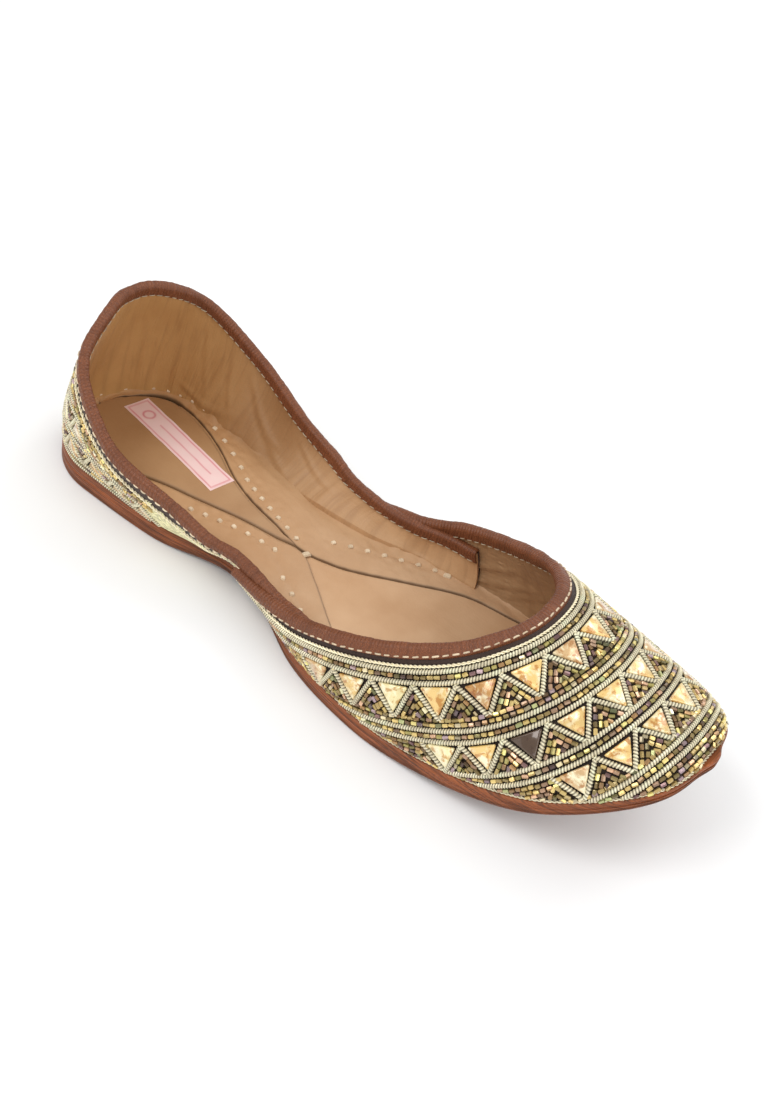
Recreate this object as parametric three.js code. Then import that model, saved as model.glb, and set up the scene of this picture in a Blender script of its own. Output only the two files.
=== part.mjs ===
// A mojari (jutti): a flat slip-on shoe of leather with a turned-up toe, straight lasted,
// so that the same shoe fits either foot.
//
// Millimetres, +X towards the toe, +Y to the wearer's left, +Z up. The origin is on the floor,
// at the middle of the sole's length and width. Stations run along the shoe from the back
// of the heel (0) to the tip of the toe.
//
// Four pieces, as a shoemaker puts them together:
//   outsole  leather sole with its arch, its thicker heel and its toe spring
//   insole   footbed that lies on the outsole inside the upper
//   quarter  heel wall, whose two wings run forward inside the vamp
//   vamp     front of the upper, open at the throat and closed over the toe
import * as THREE from "three";
import { mergeVertices } from "three/addons/utils/BufferGeometryUtils.js";

// ---------- driving dimensions ----------
const SOLE_LENGTH = 251;
const TOE_POINT = 2; // how far the sole's small pointed tip stands out at the toe
const TOE_POINT_HALF = 5; // half-width of that tip
const TOE_SPRING = 36; // lift of the toe tip above the floor
const SPRING_START = 160; // station where the sole leaves the floor
const ARCH_LIFT = 2.5;
const ARCH_FROM = 58;
const ARCH_TO = 122;
const HEEL_ROUND = 27; // length over which the heel's outline closes
const HEEL_SHARPNESS = 2.1; // 2 is an ellipse, more is squarer
const TOE_ROUND = 46;
const TOE_SHARPNESS = 3.3;
const BLUNT_END = 0.4; // the outline's ends are cut square this far from their tips

const GAP = 0.3; // between pieces that touch
const VAMP_WALL = 2.2;
const QUARTER_WALL = 1.8;
const INSOLE_THICKNESS = 1.5;

const ORIGIN_STATION = (SOLE_LENGTH + TOE_POINT) / 2;

// Outsole: half its width, and its thickness, at stations along it.
const SOLE_ROWS = [
  { station: 0, half: 27.5, thickness: 7.5 },
  { station: 30, half: 28.2, thickness: 7.5 },
  { station: 60, half: 27.0, thickness: 7.0 },
  { station: 92, half: 21.5, thickness: 5.5 },
  { station: 110, half: 25.5, thickness: 5.5 },
  { station: 128, half: 34.0, thickness: 5.5 },
  { station: 155, half: 39.5, thickness: 5.5 },
  { station: 185, half: 39.3, thickness: 5.5 },
  { station: 215, half: 37.0, thickness: 5.5 },
  { station: 251, half: 28.5, thickness: 5.0 },
];

// Upper: one row for each rib, from the middle of the heel (share 0) to the tip of the toe
// (share 1), by its share of the way round the sole's edge. A rib runs from its top, on the
// collar, to its foot on the sole. inset: how far the foot stands in from the sole's edge.
// top_*: where the rib starts. lean and drop: how far outwards and down it sets off from
// there. belly and rise: how far out and up from the foot it aims, which gives the wall
// its swell.
const RIB_ROWS = [
  { share: 0.0, inset: 1.5, top_x: 13.5, top_y: 0, top_z: 63.5, lean: 5, drop: 20, belly: 3, rise: 16 },
  { share: 0.06, inset: 1.5, top_x: 16.5, top_y: 11.5, top_z: 63, lean: 5, drop: 20, belly: 3, rise: 16 },
  { share: 0.115, inset: 1.5, top_x: 22, top_y: 27.5, top_z: 54.5, lean: 3, drop: 17, belly: 2.5, rise: 14 },
  { share: 0.2, inset: 1.5, top_x: 44, top_y: 37.5, top_z: 38, lean: 1, drop: 11, belly: 4, rise: 10 },
  { share: 0.3, inset: 0.8, top_x: 74, top_y: 34, top_z: 27, lean: 0, drop: 7, belly: 6.5, rise: 6 },
  { share: 0.39, inset: 0.5, top_x: 101, top_y: 32.6, top_z: 20.5, lean: 0, drop: 4, belly: 7.5, rise: 4 },
  { share: 0.475, inset: 1.0, top_x: 122, top_y: 34.6, top_z: 19.5, lean: 0.5, drop: 4, belly: 5, rise: 4 },
  { share: 0.56, inset: 1.5, top_x: 141, top_y: 37, top_z: 27.3, lean: 1.5, drop: 6, belly: 3.5, rise: 7 },
  { share: 0.655, inset: 1.5, top_x: 160, top_y: 34.5, top_z: 35.6, lean: 3, drop: 9, belly: 3, rise: 9 },
  { share: 0.76, inset: 1.5, top_x: 176.5, top_y: 27, top_z: 44.2, lean: 3, drop: 8, belly: 2.5, rise: 9 },
  { share: 0.86, inset: 1.5, top_x: 185.5, top_y: 16, top_z: 49.3, lean: 2, drop: 5, belly: 2, rise: 7 },
  { share: 1.0, inset: 1.5, top_x: 189, top_y: 0, top_z: 50.6, lean: 1, drop: 2, belly: 2, rise: 6 },
];
const RIB_REACH = 0.4; // share of its way to the foot that a long rib sets off with
const LONG_RIB = { from: 8, to: 28 }; // plan lengths over which that share comes in

const VAMP_BACK = 0.385; // share at the vamp's rear corners
const VAMP_CORNER = { until: 0.48, drop: 0.3 }; // its topline falls away to the rear corners
const WING_TIP = 0.585; // share at the tips of the quarter's wings
const WING_FALL = { from: 0.465, drop: 0.36 }; // the wings' topline falls away to their tips
const TUCK = { from: 0.335, to: 0.38 }; // shares over which the quarter steps inside the vamp

// Insole: how far its edge stands in from the sole's edge.
const INSOLE_ROWS = [
  { station: 0, inset: 4.6 },
  { station: 70, inset: 4.6 },
  { station: 88, inset: 6.6 },
  { station: 150, inset: 7.4 },
  { station: 172, inset: 5.2 },
  { station: 251, inset: 5.2 },
];

// ---------- small helpers ----------
// A smooth curve through one column of a table: cubic pieces whose slope at each row
// comes from its two neighbours. The left and right halves of the shoe meet at the ends of
// a table, so there a column is level, except a distance across, which runs straight on.
const ACROSS = "top_y";

function column(rows, by, name, at) {
  const last = rows.length - 1;
  const slopes = rows.slice(1).map((row, i) => (row[name] - rows[i][name]) / (row[by] - rows[i][by]));
  const slopeAt = (i) => {
    if (i === 0) return name === ACROSS ? slopes[0] : 0;
    if (i === last) return name === ACROSS ? slopes[last - 1] : 0;
    const before = rows[i][by] - rows[i - 1][by];
    const after = rows[i + 1][by] - rows[i][by];
    return (slopes[i - 1] * after + slopes[i] * before) / (before + after);
  };
  let i = 0;
  while (i < last - 1 && at >= rows[i + 1][by]) i += 1;
  const step = rows[i + 1][by] - rows[i][by];
  const t = THREE.MathUtils.clamp((at - rows[i][by]) / step, 0, 1);
  const start = rows[i][name] * (1 + 2 * t) * (1 - t) ** 2 + slopeAt(i) * step * t * (1 - t) ** 2;
  const end = rows[i + 1][name] * t * t * (3 - 2 * t) + slopeAt(i + 1) * step * t * t * (t - 1);
  return start + end;
}

const ease = (value, from, to) => THREE.MathUtils.smoothstep(value, from, to);
const closing = (share, sharpness) => (1 - share ** sharpness) ** (1 / sharpness);

// A closed solid between two grids of points, grid[i][j]. Seen with i to the right and j
// upwards, front faces the viewer and back lies behind it. The four rims are closed too.
function solidBetween(front, back) {
  const across = front.length - 1;
  const up = front[0].length - 1;
  const positions = [];
  const triangle = (a, b, c) => positions.push(...a.toArray(), ...b.toArray(), ...c.toArray());
  const quad = (a, b, c, d) => {
    triangle(a, b, c);
    triangle(a, c, d);
  };
  for (let i = 0; i < across; i += 1) {
    for (let j = 0; j < up; j += 1) {
      quad(front[i][j], front[i + 1][j], front[i + 1][j + 1], front[i][j + 1]);
      quad(back[i][j], back[i][j + 1], back[i + 1][j + 1], back[i + 1][j]);
    }
    quad(back[i][0], back[i + 1][0], front[i + 1][0], front[i][0]);
    quad(front[i][up], front[i + 1][up], back[i + 1][up], back[i][up]);
  }
  for (let j = 0; j < up; j += 1) {
    quad(back[0][j], front[0][j], front[0][j + 1], back[0][j + 1]);
    quad(front[across][j], back[across][j], back[across][j + 1], front[across][j + 1]);
  }
  const geometry = new THREE.BufferGeometry();
  geometry.setAttribute("position", new THREE.Float32BufferAttribute(positions, 3));
  const merged = mergeVertices(geometry, 1e-5);
  merged.computeVertexNormals();
  return merged;
}

function meshOf(name, geometry, color, roughness) {
  const mesh = new THREE.Mesh(
    geometry,
    new THREE.MeshStandardMaterial({ color, roughness, metalness: 0 }),
  );
  mesh.name = name;
  mesh.position.x = -ORIGIN_STATION;
  return mesh;
}

// ---------- sole form ----------
function halfWidth(station) {
  const heel = Math.max(0, (HEEL_ROUND - station) / HEEL_ROUND);
  const toe = Math.max(0, (station - SOLE_LENGTH + TOE_ROUND) / TOE_ROUND);
  const body = column(SOLE_ROWS, "station", "half", station);
  return body * closing(heel, HEEL_SHARPNESS) * closing(Math.min(toe, 1), TOE_SHARPNESS);
}

function floorHeight(station) {
  const spring = Math.max(0, (station - SPRING_START) / (SOLE_LENGTH - SPRING_START));
  const arch = THREE.MathUtils.clamp((station - ARCH_FROM) / (ARCH_TO - ARCH_FROM), 0, 1);
  return TOE_SPRING * spring ** 2 + ARCH_LIFT * Math.sin(Math.PI * arch) ** 2;
}

function soleTop(station) {
  return floorHeight(station) + column(SOLE_ROWS, "station", "thickness", station);
}

// Stations crowd together at both ends, where the outline turns.
const stationAt = (share) => SOLE_LENGTH * 0.5 * (1 - Math.cos(Math.PI * share));

// The sole's left edge from heel to toe as a fine polyline, looked up by share of its length.
const EDGE_POINTS = 1600;
const edge = new THREE.CurvePath();
const edgePoint = (i) => {
  const station = stationAt(i / EDGE_POINTS);
  return new THREE.Vector2(station, halfWidth(station));
};
for (let i = 0; i < EDGE_POINTS; i += 1) {
  edge.add(new THREE.LineCurve(edgePoint(i), edgePoint(i + 1)));
}
const EDGE_STEP = 0.002; // share over which the edge's direction is measured

function edgeAt(share, inset) {
  const point = edge.getPoint(share);
  const before = edge.getPoint(Math.max(0, share - EDGE_STEP));
  const after = edge.getPoint(Math.min(1, share + EDGE_STEP));
  // The two halves of the outline mirror each other, so at its ends it runs straight across.
  if (share < EDGE_STEP) before.set(after.x, -after.y);
  if (share > 1 - EDGE_STEP) after.set(before.x, -before.y);
  const along = after.sub(before).normalize();
  const outward = new THREE.Vector2(-along.y, along.x);
  return { point: point.addScaledVector(outward, -inset), outward };
}

// ---------- upper form ----------
// A point on the upper's outer surface. side is +1 left or -1 right; down runs from 0 at
// the collar to 1 at the sole. A rib is a cubic Bezier curve.
function upperPoint(share, down, side) {
  const rib = (name) => column(RIB_ROWS, "share", name, share);
  const { point, outward } = edgeAt(share, rib("inset"));
  const top = new THREE.Vector3(rib("top_x"), rib("top_y"), rib("top_z"));
  const foot = new THREE.Vector3(point.x, point.y, soleTop(point.x) + GAP);
  const out = new THREE.Vector3(outward.x, outward.y, 0);
  const plan = foot.clone().sub(top).setZ(0);
  const reach = RIB_REACH * THREE.MathUtils.clamp(
    (plan.length() - LONG_RIB.from) / (LONG_RIB.to - LONG_RIB.from), 0, 1);
  const start = top.clone().addScaledVector(plan, reach).addScaledVector(out, rib("lean"));
  start.z -= rib("drop");
  const end = foot.clone().addScaledVector(out, rib("belly"));
  end.z += rib("rise");
  const onRib = new THREE.CubicBezierCurve3(top, start, end, foot).getPoint(down);
  onRib.y *= side;
  return onRib;
}

// A wall of the upper as a solid. Its ribs run to the right, seen from outside. ribs[i] says where each rib is (share, side), how far
// down it starts (from) and how deep the wall lies under the outer surface (depth). No part
// of it reaches lower than the top of the sole.
function wall(ribs, rows, thickness) {
  const grid = ribs.map(({ share, side, from }) =>
    Array.from({ length: rows + 1 }, (_, j) => upperPoint(share, 1 + (from - 1) * (j / rows), side)));
  const normals = grid.map((rib, i) => rib.map((_, j) => {
    const next = grid[Math.min(i + 1, grid.length - 1)][j];
    const last = grid[Math.max(i - 1, 0)][j];
    const above = rib[Math.min(j + 1, rows)];
    const below = rib[Math.max(j - 1, 0)];
    return next.clone().sub(last).cross(above.clone().sub(below)).normalize();
  }));
  const layer = (extra) => grid.map((rib, i) => rib.map((outer, j) => {
    const point = outer.clone().addScaledVector(normals[i][j], -ribs[i].depth - extra);
    point.z = Math.max(point.z, soleTop(point.x) + GAP);
    return point;
  }));
  return solidBetween(layer(0), layer(thickness));
}

// Ribs round one end of the shoe, from the side named first (+1 left, -1 right) to the other.
function ribsRound(count, firstSide, shareAt, from, depth) {
  return Array.from({ length: 2 * count + 1 }, (_, i) => {
    const turn = (i - count) / count; // -1 to 1
    const share = shareAt(Math.abs(turn));
    const side = turn < 0 ? firstSide : -firstSide;
    return { share, side, from: from(share), depth: depth(share) };
  });
}

// ---------- pieces ----------
const SOLE_STRIPS = 44;
const SOLE_CELLS = 10;

function outsole() {
  const grid = (heightAt) => Array.from({ length: SOLE_STRIPS + 1 }, (_, i) => {
    const station = stationAt(i / SOLE_STRIPS);
    const half = halfWidth(THREE.MathUtils.clamp(station, BLUNT_END, SOLE_LENGTH - BLUNT_END));
    return Array.from({ length: SOLE_CELLS + 1 }, (_, j) => {
      // Cells are finer in the middle, where the toe's point is.
      const across = 2 * (j / SOLE_CELLS) - 1;
      const y = half * across * (0.4 + 0.6 * Math.abs(across));
      const point = TOE_POINT * Math.exp(-((y / TOE_POINT_HALF) ** 2));
      const toe = ease(station, SOLE_LENGTH - 8, SOLE_LENGTH);
      return new THREE.Vector3(station + point * toe, y, heightAt(station));
    });
  });
  return solidBetween(grid(soleTop), grid(floorHeight));
}

const INSOLE_STRIPS = 36;
const INSOLE_CELLS = 6;

function insole() {
  // Each strip lies across the shoe between two points of the inset edge.
  const first = 0.02;
  const grid = (lift) => Array.from({ length: INSOLE_STRIPS + 1 }, (_, i) => {
    const share = first + (1 - 2 * first) * (i / INSOLE_STRIPS);
    const station = edge.getPoint(share).x;
    const { point } = edgeAt(share, column(INSOLE_ROWS, "station", "inset", station));
    return Array.from({ length: INSOLE_CELLS + 1 }, (_, j) => {
      const across = 2 * (j / INSOLE_CELLS) - 1;
      return new THREE.Vector3(point.x, point.y * across, soleTop(point.x) + GAP + lift);
    });
  });
  return solidBetween(grid(INSOLE_THICKNESS), grid(0));
}

const QUARTER_RIBS = 34;
const QUARTER_ROWS = 8;

function quarter() {
  const from = (share) => WING_FALL.drop * ease(share, WING_FALL.from, WING_TIP);
  const depth = (share) => (VAMP_WALL + GAP) * ease(share, TUCK.from, TUCK.to);
  return wall(ribsRound(QUARTER_RIBS, 1, (turn) => WING_TIP * turn, from, depth), QUARTER_ROWS, QUARTER_WALL);
}

const VAMP_RIBS = 34;
const VAMP_ROWS = 10;

function vamp() {
  const from = (share) => VAMP_CORNER.drop * (1 - ease(share, VAMP_BACK, VAMP_CORNER.until));
  const shareAt = (turn) => 1 + (VAMP_BACK - 1) * turn;
  return wall(ribsRound(VAMP_RIBS, -1, shareAt, from, () => 0), VAMP_ROWS, VAMP_WALL);
}

const shoe = new THREE.Group();
shoe.add(
  meshOf("outsole", outsole(), 0x8a4b2c, 0.55),
  meshOf("insole", insole(), 0xc29a6b, 0.6),
  meshOf("quarter", quarter(), 0xb79a5e, 0.5),
  meshOf("vamp", vamp(), 0xa88a48, 0.5),
);

export default shoe;
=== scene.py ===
"""A beaded leather slip-on shoe with a low collar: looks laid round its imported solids.

Sizes inside the shape functions are millimetres in the last's own frame: x is the station
along the sole from the heel, y is across, z is up. MeshKit turns them into metres.
"""

import math

import bmesh
import bpy
import numpy as np
from mathutils import Matrix


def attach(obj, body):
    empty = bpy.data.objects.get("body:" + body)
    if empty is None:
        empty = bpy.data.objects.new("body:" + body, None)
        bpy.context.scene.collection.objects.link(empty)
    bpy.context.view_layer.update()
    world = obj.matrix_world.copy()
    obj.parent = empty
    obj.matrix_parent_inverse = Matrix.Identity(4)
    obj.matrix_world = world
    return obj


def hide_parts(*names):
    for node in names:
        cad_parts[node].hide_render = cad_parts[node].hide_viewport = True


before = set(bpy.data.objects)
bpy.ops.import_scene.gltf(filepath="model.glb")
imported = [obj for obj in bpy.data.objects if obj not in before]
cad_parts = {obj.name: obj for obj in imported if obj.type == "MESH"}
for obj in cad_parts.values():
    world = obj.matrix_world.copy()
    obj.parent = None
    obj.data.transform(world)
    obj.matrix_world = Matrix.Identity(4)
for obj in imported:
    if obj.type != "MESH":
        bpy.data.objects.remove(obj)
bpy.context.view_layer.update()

bl_info = {
    "name": "Beaded slip-on shoe",
    "version": (1, 0, 0),
    "blender": (4, 5, 0),
    "location": "View3D > Sidebar > Shoe",
    "description": "Leather, beadwork and thread of one slip-on shoe",
    "category": "Add Mesh",
}

MM = 0.001

# ---------------- the last's own sizes, mm

SOLE_LENGTH = 251.0
TOE_POINT = 2.0
TOE_POINT_HALF = 5.0
TOE_SPRING = 36.0
SPRING_START = 160.0
ARCH_LIFT = 2.5
ARCH_FROM = 58.0
ARCH_TO = 122.0
HEEL_ROUND = 27.0
HEEL_SHARPNESS = 2.1
TOE_ROUND = 46.0
TOE_SHARPNESS = 3.3
GAP = 0.3
VAMP_WALL = 2.2
QUARTER_WALL = 1.8
ORIGIN = (SOLE_LENGTH + TOE_POINT) / 2
RIB_REACH = 0.4
LONG_RIB = (8.0, 28.0)
VAMP_BACK = 0.385
CORNER_UNTIL = 0.48
CORNER_DROP = 0.3
WING_TIP = 0.585
WING_FROM = 0.465
WING_DROP = 0.36
TUCK = (0.335, 0.38)
TUCK_DEPTH = 2.5


def table(names, rows):
    """A table of sizes: each name with its column of numbers."""
    return dict(zip(names.split(), np.array(rows, float).T))


SOLE = table(
    "station half thickness",
    [
        (0, 27.5, 7.5), (30, 28.2, 7.5), (60, 27, 7), (92, 21.5, 5.5), (110, 25.5, 5.5),
        (128, 34, 5.5), (155, 39.5, 5.5), (185, 39.3, 5.5), (215, 37, 5.5), (251, 28.5, 5),
    ],
)
RIBS = table(
    "share inset top_x top_y top_z lean drop belly rise",
    [
        (0.0, 1.5, 13.5, 0, 63.5, 5, 20, 3, 16),
        (0.06, 1.5, 16.5, 11.5, 63, 5, 20, 3, 16),
        (0.115, 1.5, 22, 27.5, 54.5, 3, 17, 2.5, 14),
        (0.2, 1.5, 44, 37.5, 38, 1, 11, 4, 10),
        (0.3, 0.8, 74, 34, 27, 0, 7, 6.5, 6),
        (0.39, 0.5, 101, 32.6, 20.5, 0, 4, 7.5, 4),
        (0.475, 1.0, 122, 34.6, 19.5, 0.5, 4, 5, 4),
        (0.56, 1.5, 141, 37, 27.3, 1.5, 6, 3.5, 7),
        (0.655, 1.5, 160, 34.5, 35.6, 3, 9, 3, 9),
        (0.76, 1.5, 176.5, 27, 44.2, 3, 8, 2.5, 9),
        (0.86, 1.5, 185.5, 16, 49.3, 2, 5, 2, 7),
        (1.0, 1.5, 189, 0, 50.6, 1, 2, 2, 6),
    ],
)


def unit(v):
    """Each vector divided by its length."""
    return v / np.maximum(np.linalg.norm(v, axis=-1, keepdims=True), 1e-9)


def ease(value, start, end):
    """0 before start, 1 after end, s²(3 − 2s) between."""
    s = np.clip((np.asarray(value, float) - start) / (end - start), 0, 1)
    return s * s * (3 - 2 * s)


def walk_of(line):
    """How far each point of a line lies along it, from its first."""
    return np.r_[0, np.cumsum(np.linalg.norm(np.diff(line, axis=0), axis=-1))]


def column(rows, by, name, at):
    """A table's column read smoothly: cubic Hermite pieces.

    An inner row's slope is its two neighbouring secants' mean, each weighted by the other's
    span; the ends are level, except where the collar crosses the middle line.
    """
    x, y, at = rows[by], rows[name], np.asarray(at, float)
    span = np.diff(x)
    secant = np.diff(y) / span
    slope = np.zeros_like(y)
    slope[1:-1] = (secant[:-1] * span[1:] + secant[1:] * span[:-1]) / (span[1:] + span[:-1])
    if name == "top_y":
        slope[0], slope[-1] = secant[0], secant[-1]
    i = np.clip(np.searchsorted(x, at, side="right") - 1, 0, len(span) - 1)
    s = np.clip((at - x[i]) / span[i], 0, 1)
    return (
        y[i] * (1 + 2 * s) * (1 - s) ** 2
        + slope[i] * span[i] * s * (1 - s) ** 2
        + y[i + 1] * s * s * (3 - 2 * s)
        + slope[i + 1] * span[i] * s * s * (s - 1)
    )


def half_width(x):
    """Half the sole's width at a station, closed by a superellipse at the heel and toe."""
    heel = np.clip((HEEL_ROUND - x) / HEEL_ROUND, 0, 1)
    toe = np.clip((x - SOLE_LENGTH + TOE_ROUND) / TOE_ROUND, 0, 1)
    rounded = (1 - heel**HEEL_SHARPNESS) ** (1 / HEEL_SHARPNESS)
    rounded = rounded * (1 - toe**TOE_SHARPNESS) ** (1 / TOE_SHARPNESS)
    return column(SOLE, "station", "half", x) * rounded


def floor_height(x):
    """Height of the sole's underside: the toe springs up as a parabola, the arch as sin²."""
    s = np.clip((x - SPRING_START) / (SOLE_LENGTH - SPRING_START), 0, None)
    a = np.clip((x - ARCH_FROM) / (ARCH_TO - ARCH_FROM), 0, 1)
    return TOE_SPRING * s**2 + ARCH_LIFT * np.sin(np.pi * a) ** 2


def sole_top(x):
    """Height of the sole's upper face."""
    return floor_height(x) + column(SOLE, "station", "thickness", x)


EDGE_X = SOLE_LENGTH * 0.5 * (1 - np.cos(np.linspace(0, np.pi, 1601)))
EDGE_Y = half_width(EDGE_X)
EDGE_WALK = np.r_[0, np.cumsum(np.hypot(np.diff(EDGE_X), np.diff(EDGE_Y)))]
SIDE_LENGTH = EDGE_WALK[-1]
EDGE_WALK = EDGE_WALK / SIDE_LENGTH
CHORD = 0.002


def edge_at(share, inset):
    """The sole's outline at a share of its side, moved in by inset along its normal.

    Gives x, y and the outward normal, from the chord between two near points; past the heel's
    or the toe's middle the chord's far end is mirrored.
    """
    share = np.asarray(share, float)

    def read(s):
        return np.interp(s, EDGE_WALK, EDGE_X), np.interp(s, EDGE_WALK, EDGE_Y)

    x, y = read(share)
    back_x, back_y = read(np.maximum(0, share - CHORD))
    ahead_x, ahead_y = read(np.minimum(1, share + CHORD))
    first = share < CHORD
    back_x, back_y = np.where(first, ahead_x, back_x), np.where(first, -ahead_y, back_y)
    last = share > 1 - CHORD
    ahead_x, ahead_y = np.where(last, back_x, ahead_x), np.where(last, -back_y, ahead_y)
    dx, dy = ahead_x - back_x, ahead_y - back_y
    length = np.hypot(dx, dy)
    out_x, out_y = -dy / length, dx / length
    return x - inset * out_x, y - inset * out_y, out_x, out_y


def upper_point(share, down, side):
    """A point of the upper's outer face: a cubic curve from the collar to the sole's edge.

    Its first handle reaches 0.4 of the way out in plan and sinks by drop, its second stands
    over the foot by rise and out by belly. down runs from 0 at the collar to 1 at the sole.
    """
    share, down, side = np.broadcast_arrays(share, down, side)
    size = {name: column(RIBS, "share", name, share) for name in RIBS if name != "share"}
    foot_x, foot_y, out_x, out_y = edge_at(share, size["inset"])
    top = np.stack([size["top_x"], size["top_y"], size["top_z"]], -1)
    foot = np.stack([foot_x, foot_y, sole_top(foot_x) + GAP], -1)
    out = np.stack([out_x, out_y, np.zeros_like(out_x)], -1)
    plan = (foot - top) * [1, 1, 0]
    long_rib = (np.linalg.norm(plan, axis=-1) - LONG_RIB[0]) / (LONG_RIB[1] - LONG_RIB[0])
    reach = (RIB_REACH * np.clip(long_rib, 0, 1))[..., None]
    up = np.array([0.0, 0.0, 1.0])
    first = top + plan * reach + out * size["lean"][..., None] - up * size["drop"][..., None]
    second = foot + out * size["belly"][..., None] + up * size["rise"][..., None]
    v = down[..., None]
    point = top * (1 - v) ** 3 + 3 * first * v * (1 - v) ** 2
    point = point + 3 * second * v * v * (1 - v) + foot * v**3
    return point * np.stack([np.ones_like(side), side, np.ones_like(side)], -1)


def vamp_ribs(around):
    """The vamp's ribs: around −1..1 runs from one back corner over the toe to the other."""
    share = 1 - (1 - VAMP_BACK) * np.abs(around)
    first = CORNER_DROP * (1 - ease(share, VAMP_BACK, CORNER_UNTIL))
    return share, first, np.where(around < 0, -1.0, 1.0)


def quarter_ribs(around):
    """The quarter's ribs: around −1..1 runs from one wing's tip round the heel."""
    share = WING_TIP * np.abs(around)
    first = WING_DROP * ease(share, WING_FROM, WING_TIP)
    return share, first, np.where(around < 0, -1.0, 1.0)


def no_tuck(around):
    """The vamp lies on the outside all along."""
    return np.zeros_like(around)


def quarter_tuck(around):
    """How far the quarter lies inside the vamp: 0 to 2.5 mm where its wings go under."""
    return TUCK_DEPTH * ease(WING_TIP * np.abs(around), *TUCK)


class Skin:
    """A panel's outer face, ruled by ribs.

    A point is known by around, −1 to 1 along the panel, and by drop, the mm walked down its
    rib from the panel's upper edge (up from its foot where from_foot is set).
    """

    RIBS = 961
    STEP = 0.5
    REACH = 72.0
    APART = 1000.0
    MIDDLE = np.array([126.0, 0.0, 8.0])
    HELD = 0.001

    def __init__(self, ribs_of, tuck_of, from_foot=False):
        self.around = np.linspace(-1, 1, self.RIBS)
        share, first, side = ribs_of(self.around)
        v = np.linspace(0, 1, 161)
        down = first[:, None] + (1 - first[:, None]) * v
        point = upper_point(share[:, None], down, side[:, None])
        if from_foot:
            point = point[:, ::-1]
        walked = np.cumsum(np.linalg.norm(np.diff(point, axis=1), axis=-1), axis=1)
        walked = np.concatenate([np.zeros((self.RIBS, 1)), walked], 1)
        self.length = walked[:, -1]
        even = np.arange(0, self.REACH, self.STEP)
        apart = np.arange(self.RIBS)[:, None] * self.APART
        wanted = (np.minimum(even, self.length[:, None]) + apart).ravel()
        known = (walked + apart).ravel()
        axes = [np.interp(wanted, known, point[..., c].ravel()) for c in range(3)]
        face = np.stack(axes, -1).reshape(self.RIBS, len(even), 3)
        past = np.maximum(even - self.length[:, None], 0)
        face = face + unit(point[:, -1] - point[:, -5])[:, None] * past[..., None]
        along = np.gradient(face, self.around, axis=0)
        fall = np.gradient(face, self.STEP, axis=1)
        self.speed = np.linalg.norm(along, axis=-1)
        normal = unit(np.cross(along, fall))
        normal = normal * np.sign(np.mean(np.sum(normal * (face - self.MIDDLE), -1)))
        self.hand = np.sign(np.mean(np.sum(np.cross(normal, unit(along)) * fall, -1)))
        face = face - normal * tuck_of(self.around)[:, None, None]
        self.face, self.normal, self.along = face, normal, unit(along)

    def read(self, grid, around, drop):
        """A grid's value between its nodes, weighted by nearness."""
        last = np.array(grid.shape[:2]) - 1 - self.HELD
        i = np.clip((np.asarray(around) + 1) / 2 * (self.RIBS - 1), 0, last[0])
        j = np.clip(np.asarray(drop) / self.STEP, 0, last[1])
        i, j = np.broadcast_arrays(i, j)
        a, b = i.astype(int), j.astype(int)
        s, t = i - a, j - b
        if grid.ndim == 3:
            s, t = s[..., None], t[..., None]
        low = grid[a, b] * (1 - t) + grid[a, b + 1] * t
        high = grid[a + 1, b] * (1 - t) + grid[a + 1, b + 1] * t
        return low * (1 - s) + high * s

    def at(self, around, drop, lift=0.0):
        """Point and the three directions there: along the panel, down the rib, outward."""
        normal = unit(self.read(self.normal, around, drop))
        along = self.read(self.along, around, drop)
        along = unit(along - normal * np.sum(along * normal, -1, keepdims=True))
        along = along * self.hand
        down = np.cross(normal, along)
        lift = np.broadcast_to(lift, normal.shape[:-1])[..., None]
        return self.read(self.face, around, drop) + normal * lift, along, down, normal

    def span(self, around):
        """The length of the rib there."""
        return np.interp(around, self.around, self.length)

    def beside(self, around, offset, drop):
        """The around value that lies offset mm further along at this drop."""
        return around + self.hand * offset / self.read(self.speed, around, drop)

    def walk(self, drop, ends=1.0, margin=0.9):
        """Around values along the panel at one drop, the mm walked from the middle, and
        whether the rib still reaches margin mm further down there.
        """
        around = np.linspace(-ends, ends, 1601)
        point = self.at(around, drop)[0]
        walked = walk_of(point)
        walked = walked - walked[len(walked) // 2]
        return around, walked, self.span(around) - drop > margin

    def evenly(self, drop, pitch, phase=0.0, ends=1.0, margin=0.9):
        """Around values a pitch apart along the panel at one drop."""
        around, walked, inside = self.walk(drop, ends, margin)
        first, last = (walked[[0, -1]] - phase) / pitch
        marks = np.arange(math.ceil(first), last) * pitch + phase
        found = np.interp(marks, walked, around)
        return found[np.interp(marks, walked, inside.astype(float)) > 0.99]


VAMP = Skin(vamp_ribs, no_tuck)
VAMP_FOOT = Skin(vamp_ribs, no_tuck, from_foot=True)
QUARTER = Skin(quarter_ribs, quarter_tuck)
HEEL = Skin(quarter_ribs, quarter_tuck, from_foot=True)


# ---------------- meshes


def grid_faces(rows, columns, closed=False):
    """The four-cornered faces of a grid of points, its rows closed round where asked."""
    row = np.arange(rows - 1)[:, None] * columns
    here = np.arange(columns if closed else columns - 1)[None]
    ahead = (here + 1) % columns
    corners = [row + here, row + ahead, row + columns + ahead, row + columns + here]
    return np.stack(np.broadcast_arrays(*corners), -1).reshape(-1, 4)


def ring_faces(rings, sides):
    """The faces of rings of points one behind another, closed at both ends."""
    ring = np.arange(sides)
    last = (rings - 1) * sides + ring
    return [grid_faces(rings, sides, closed=True), ring[None, ::-1], last[None]]


def border(rows, columns):
    """The numbers of a grid's outer points, in order round it."""
    top = np.arange(columns)
    right = np.arange(1, rows) * columns + columns - 1
    bottom = (rows - 1) * columns + np.arange(columns - 2, -1, -1)
    left = np.arange(rows - 2, 0, -1) * columns
    return np.concatenate([top, right, bottom, left])


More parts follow.
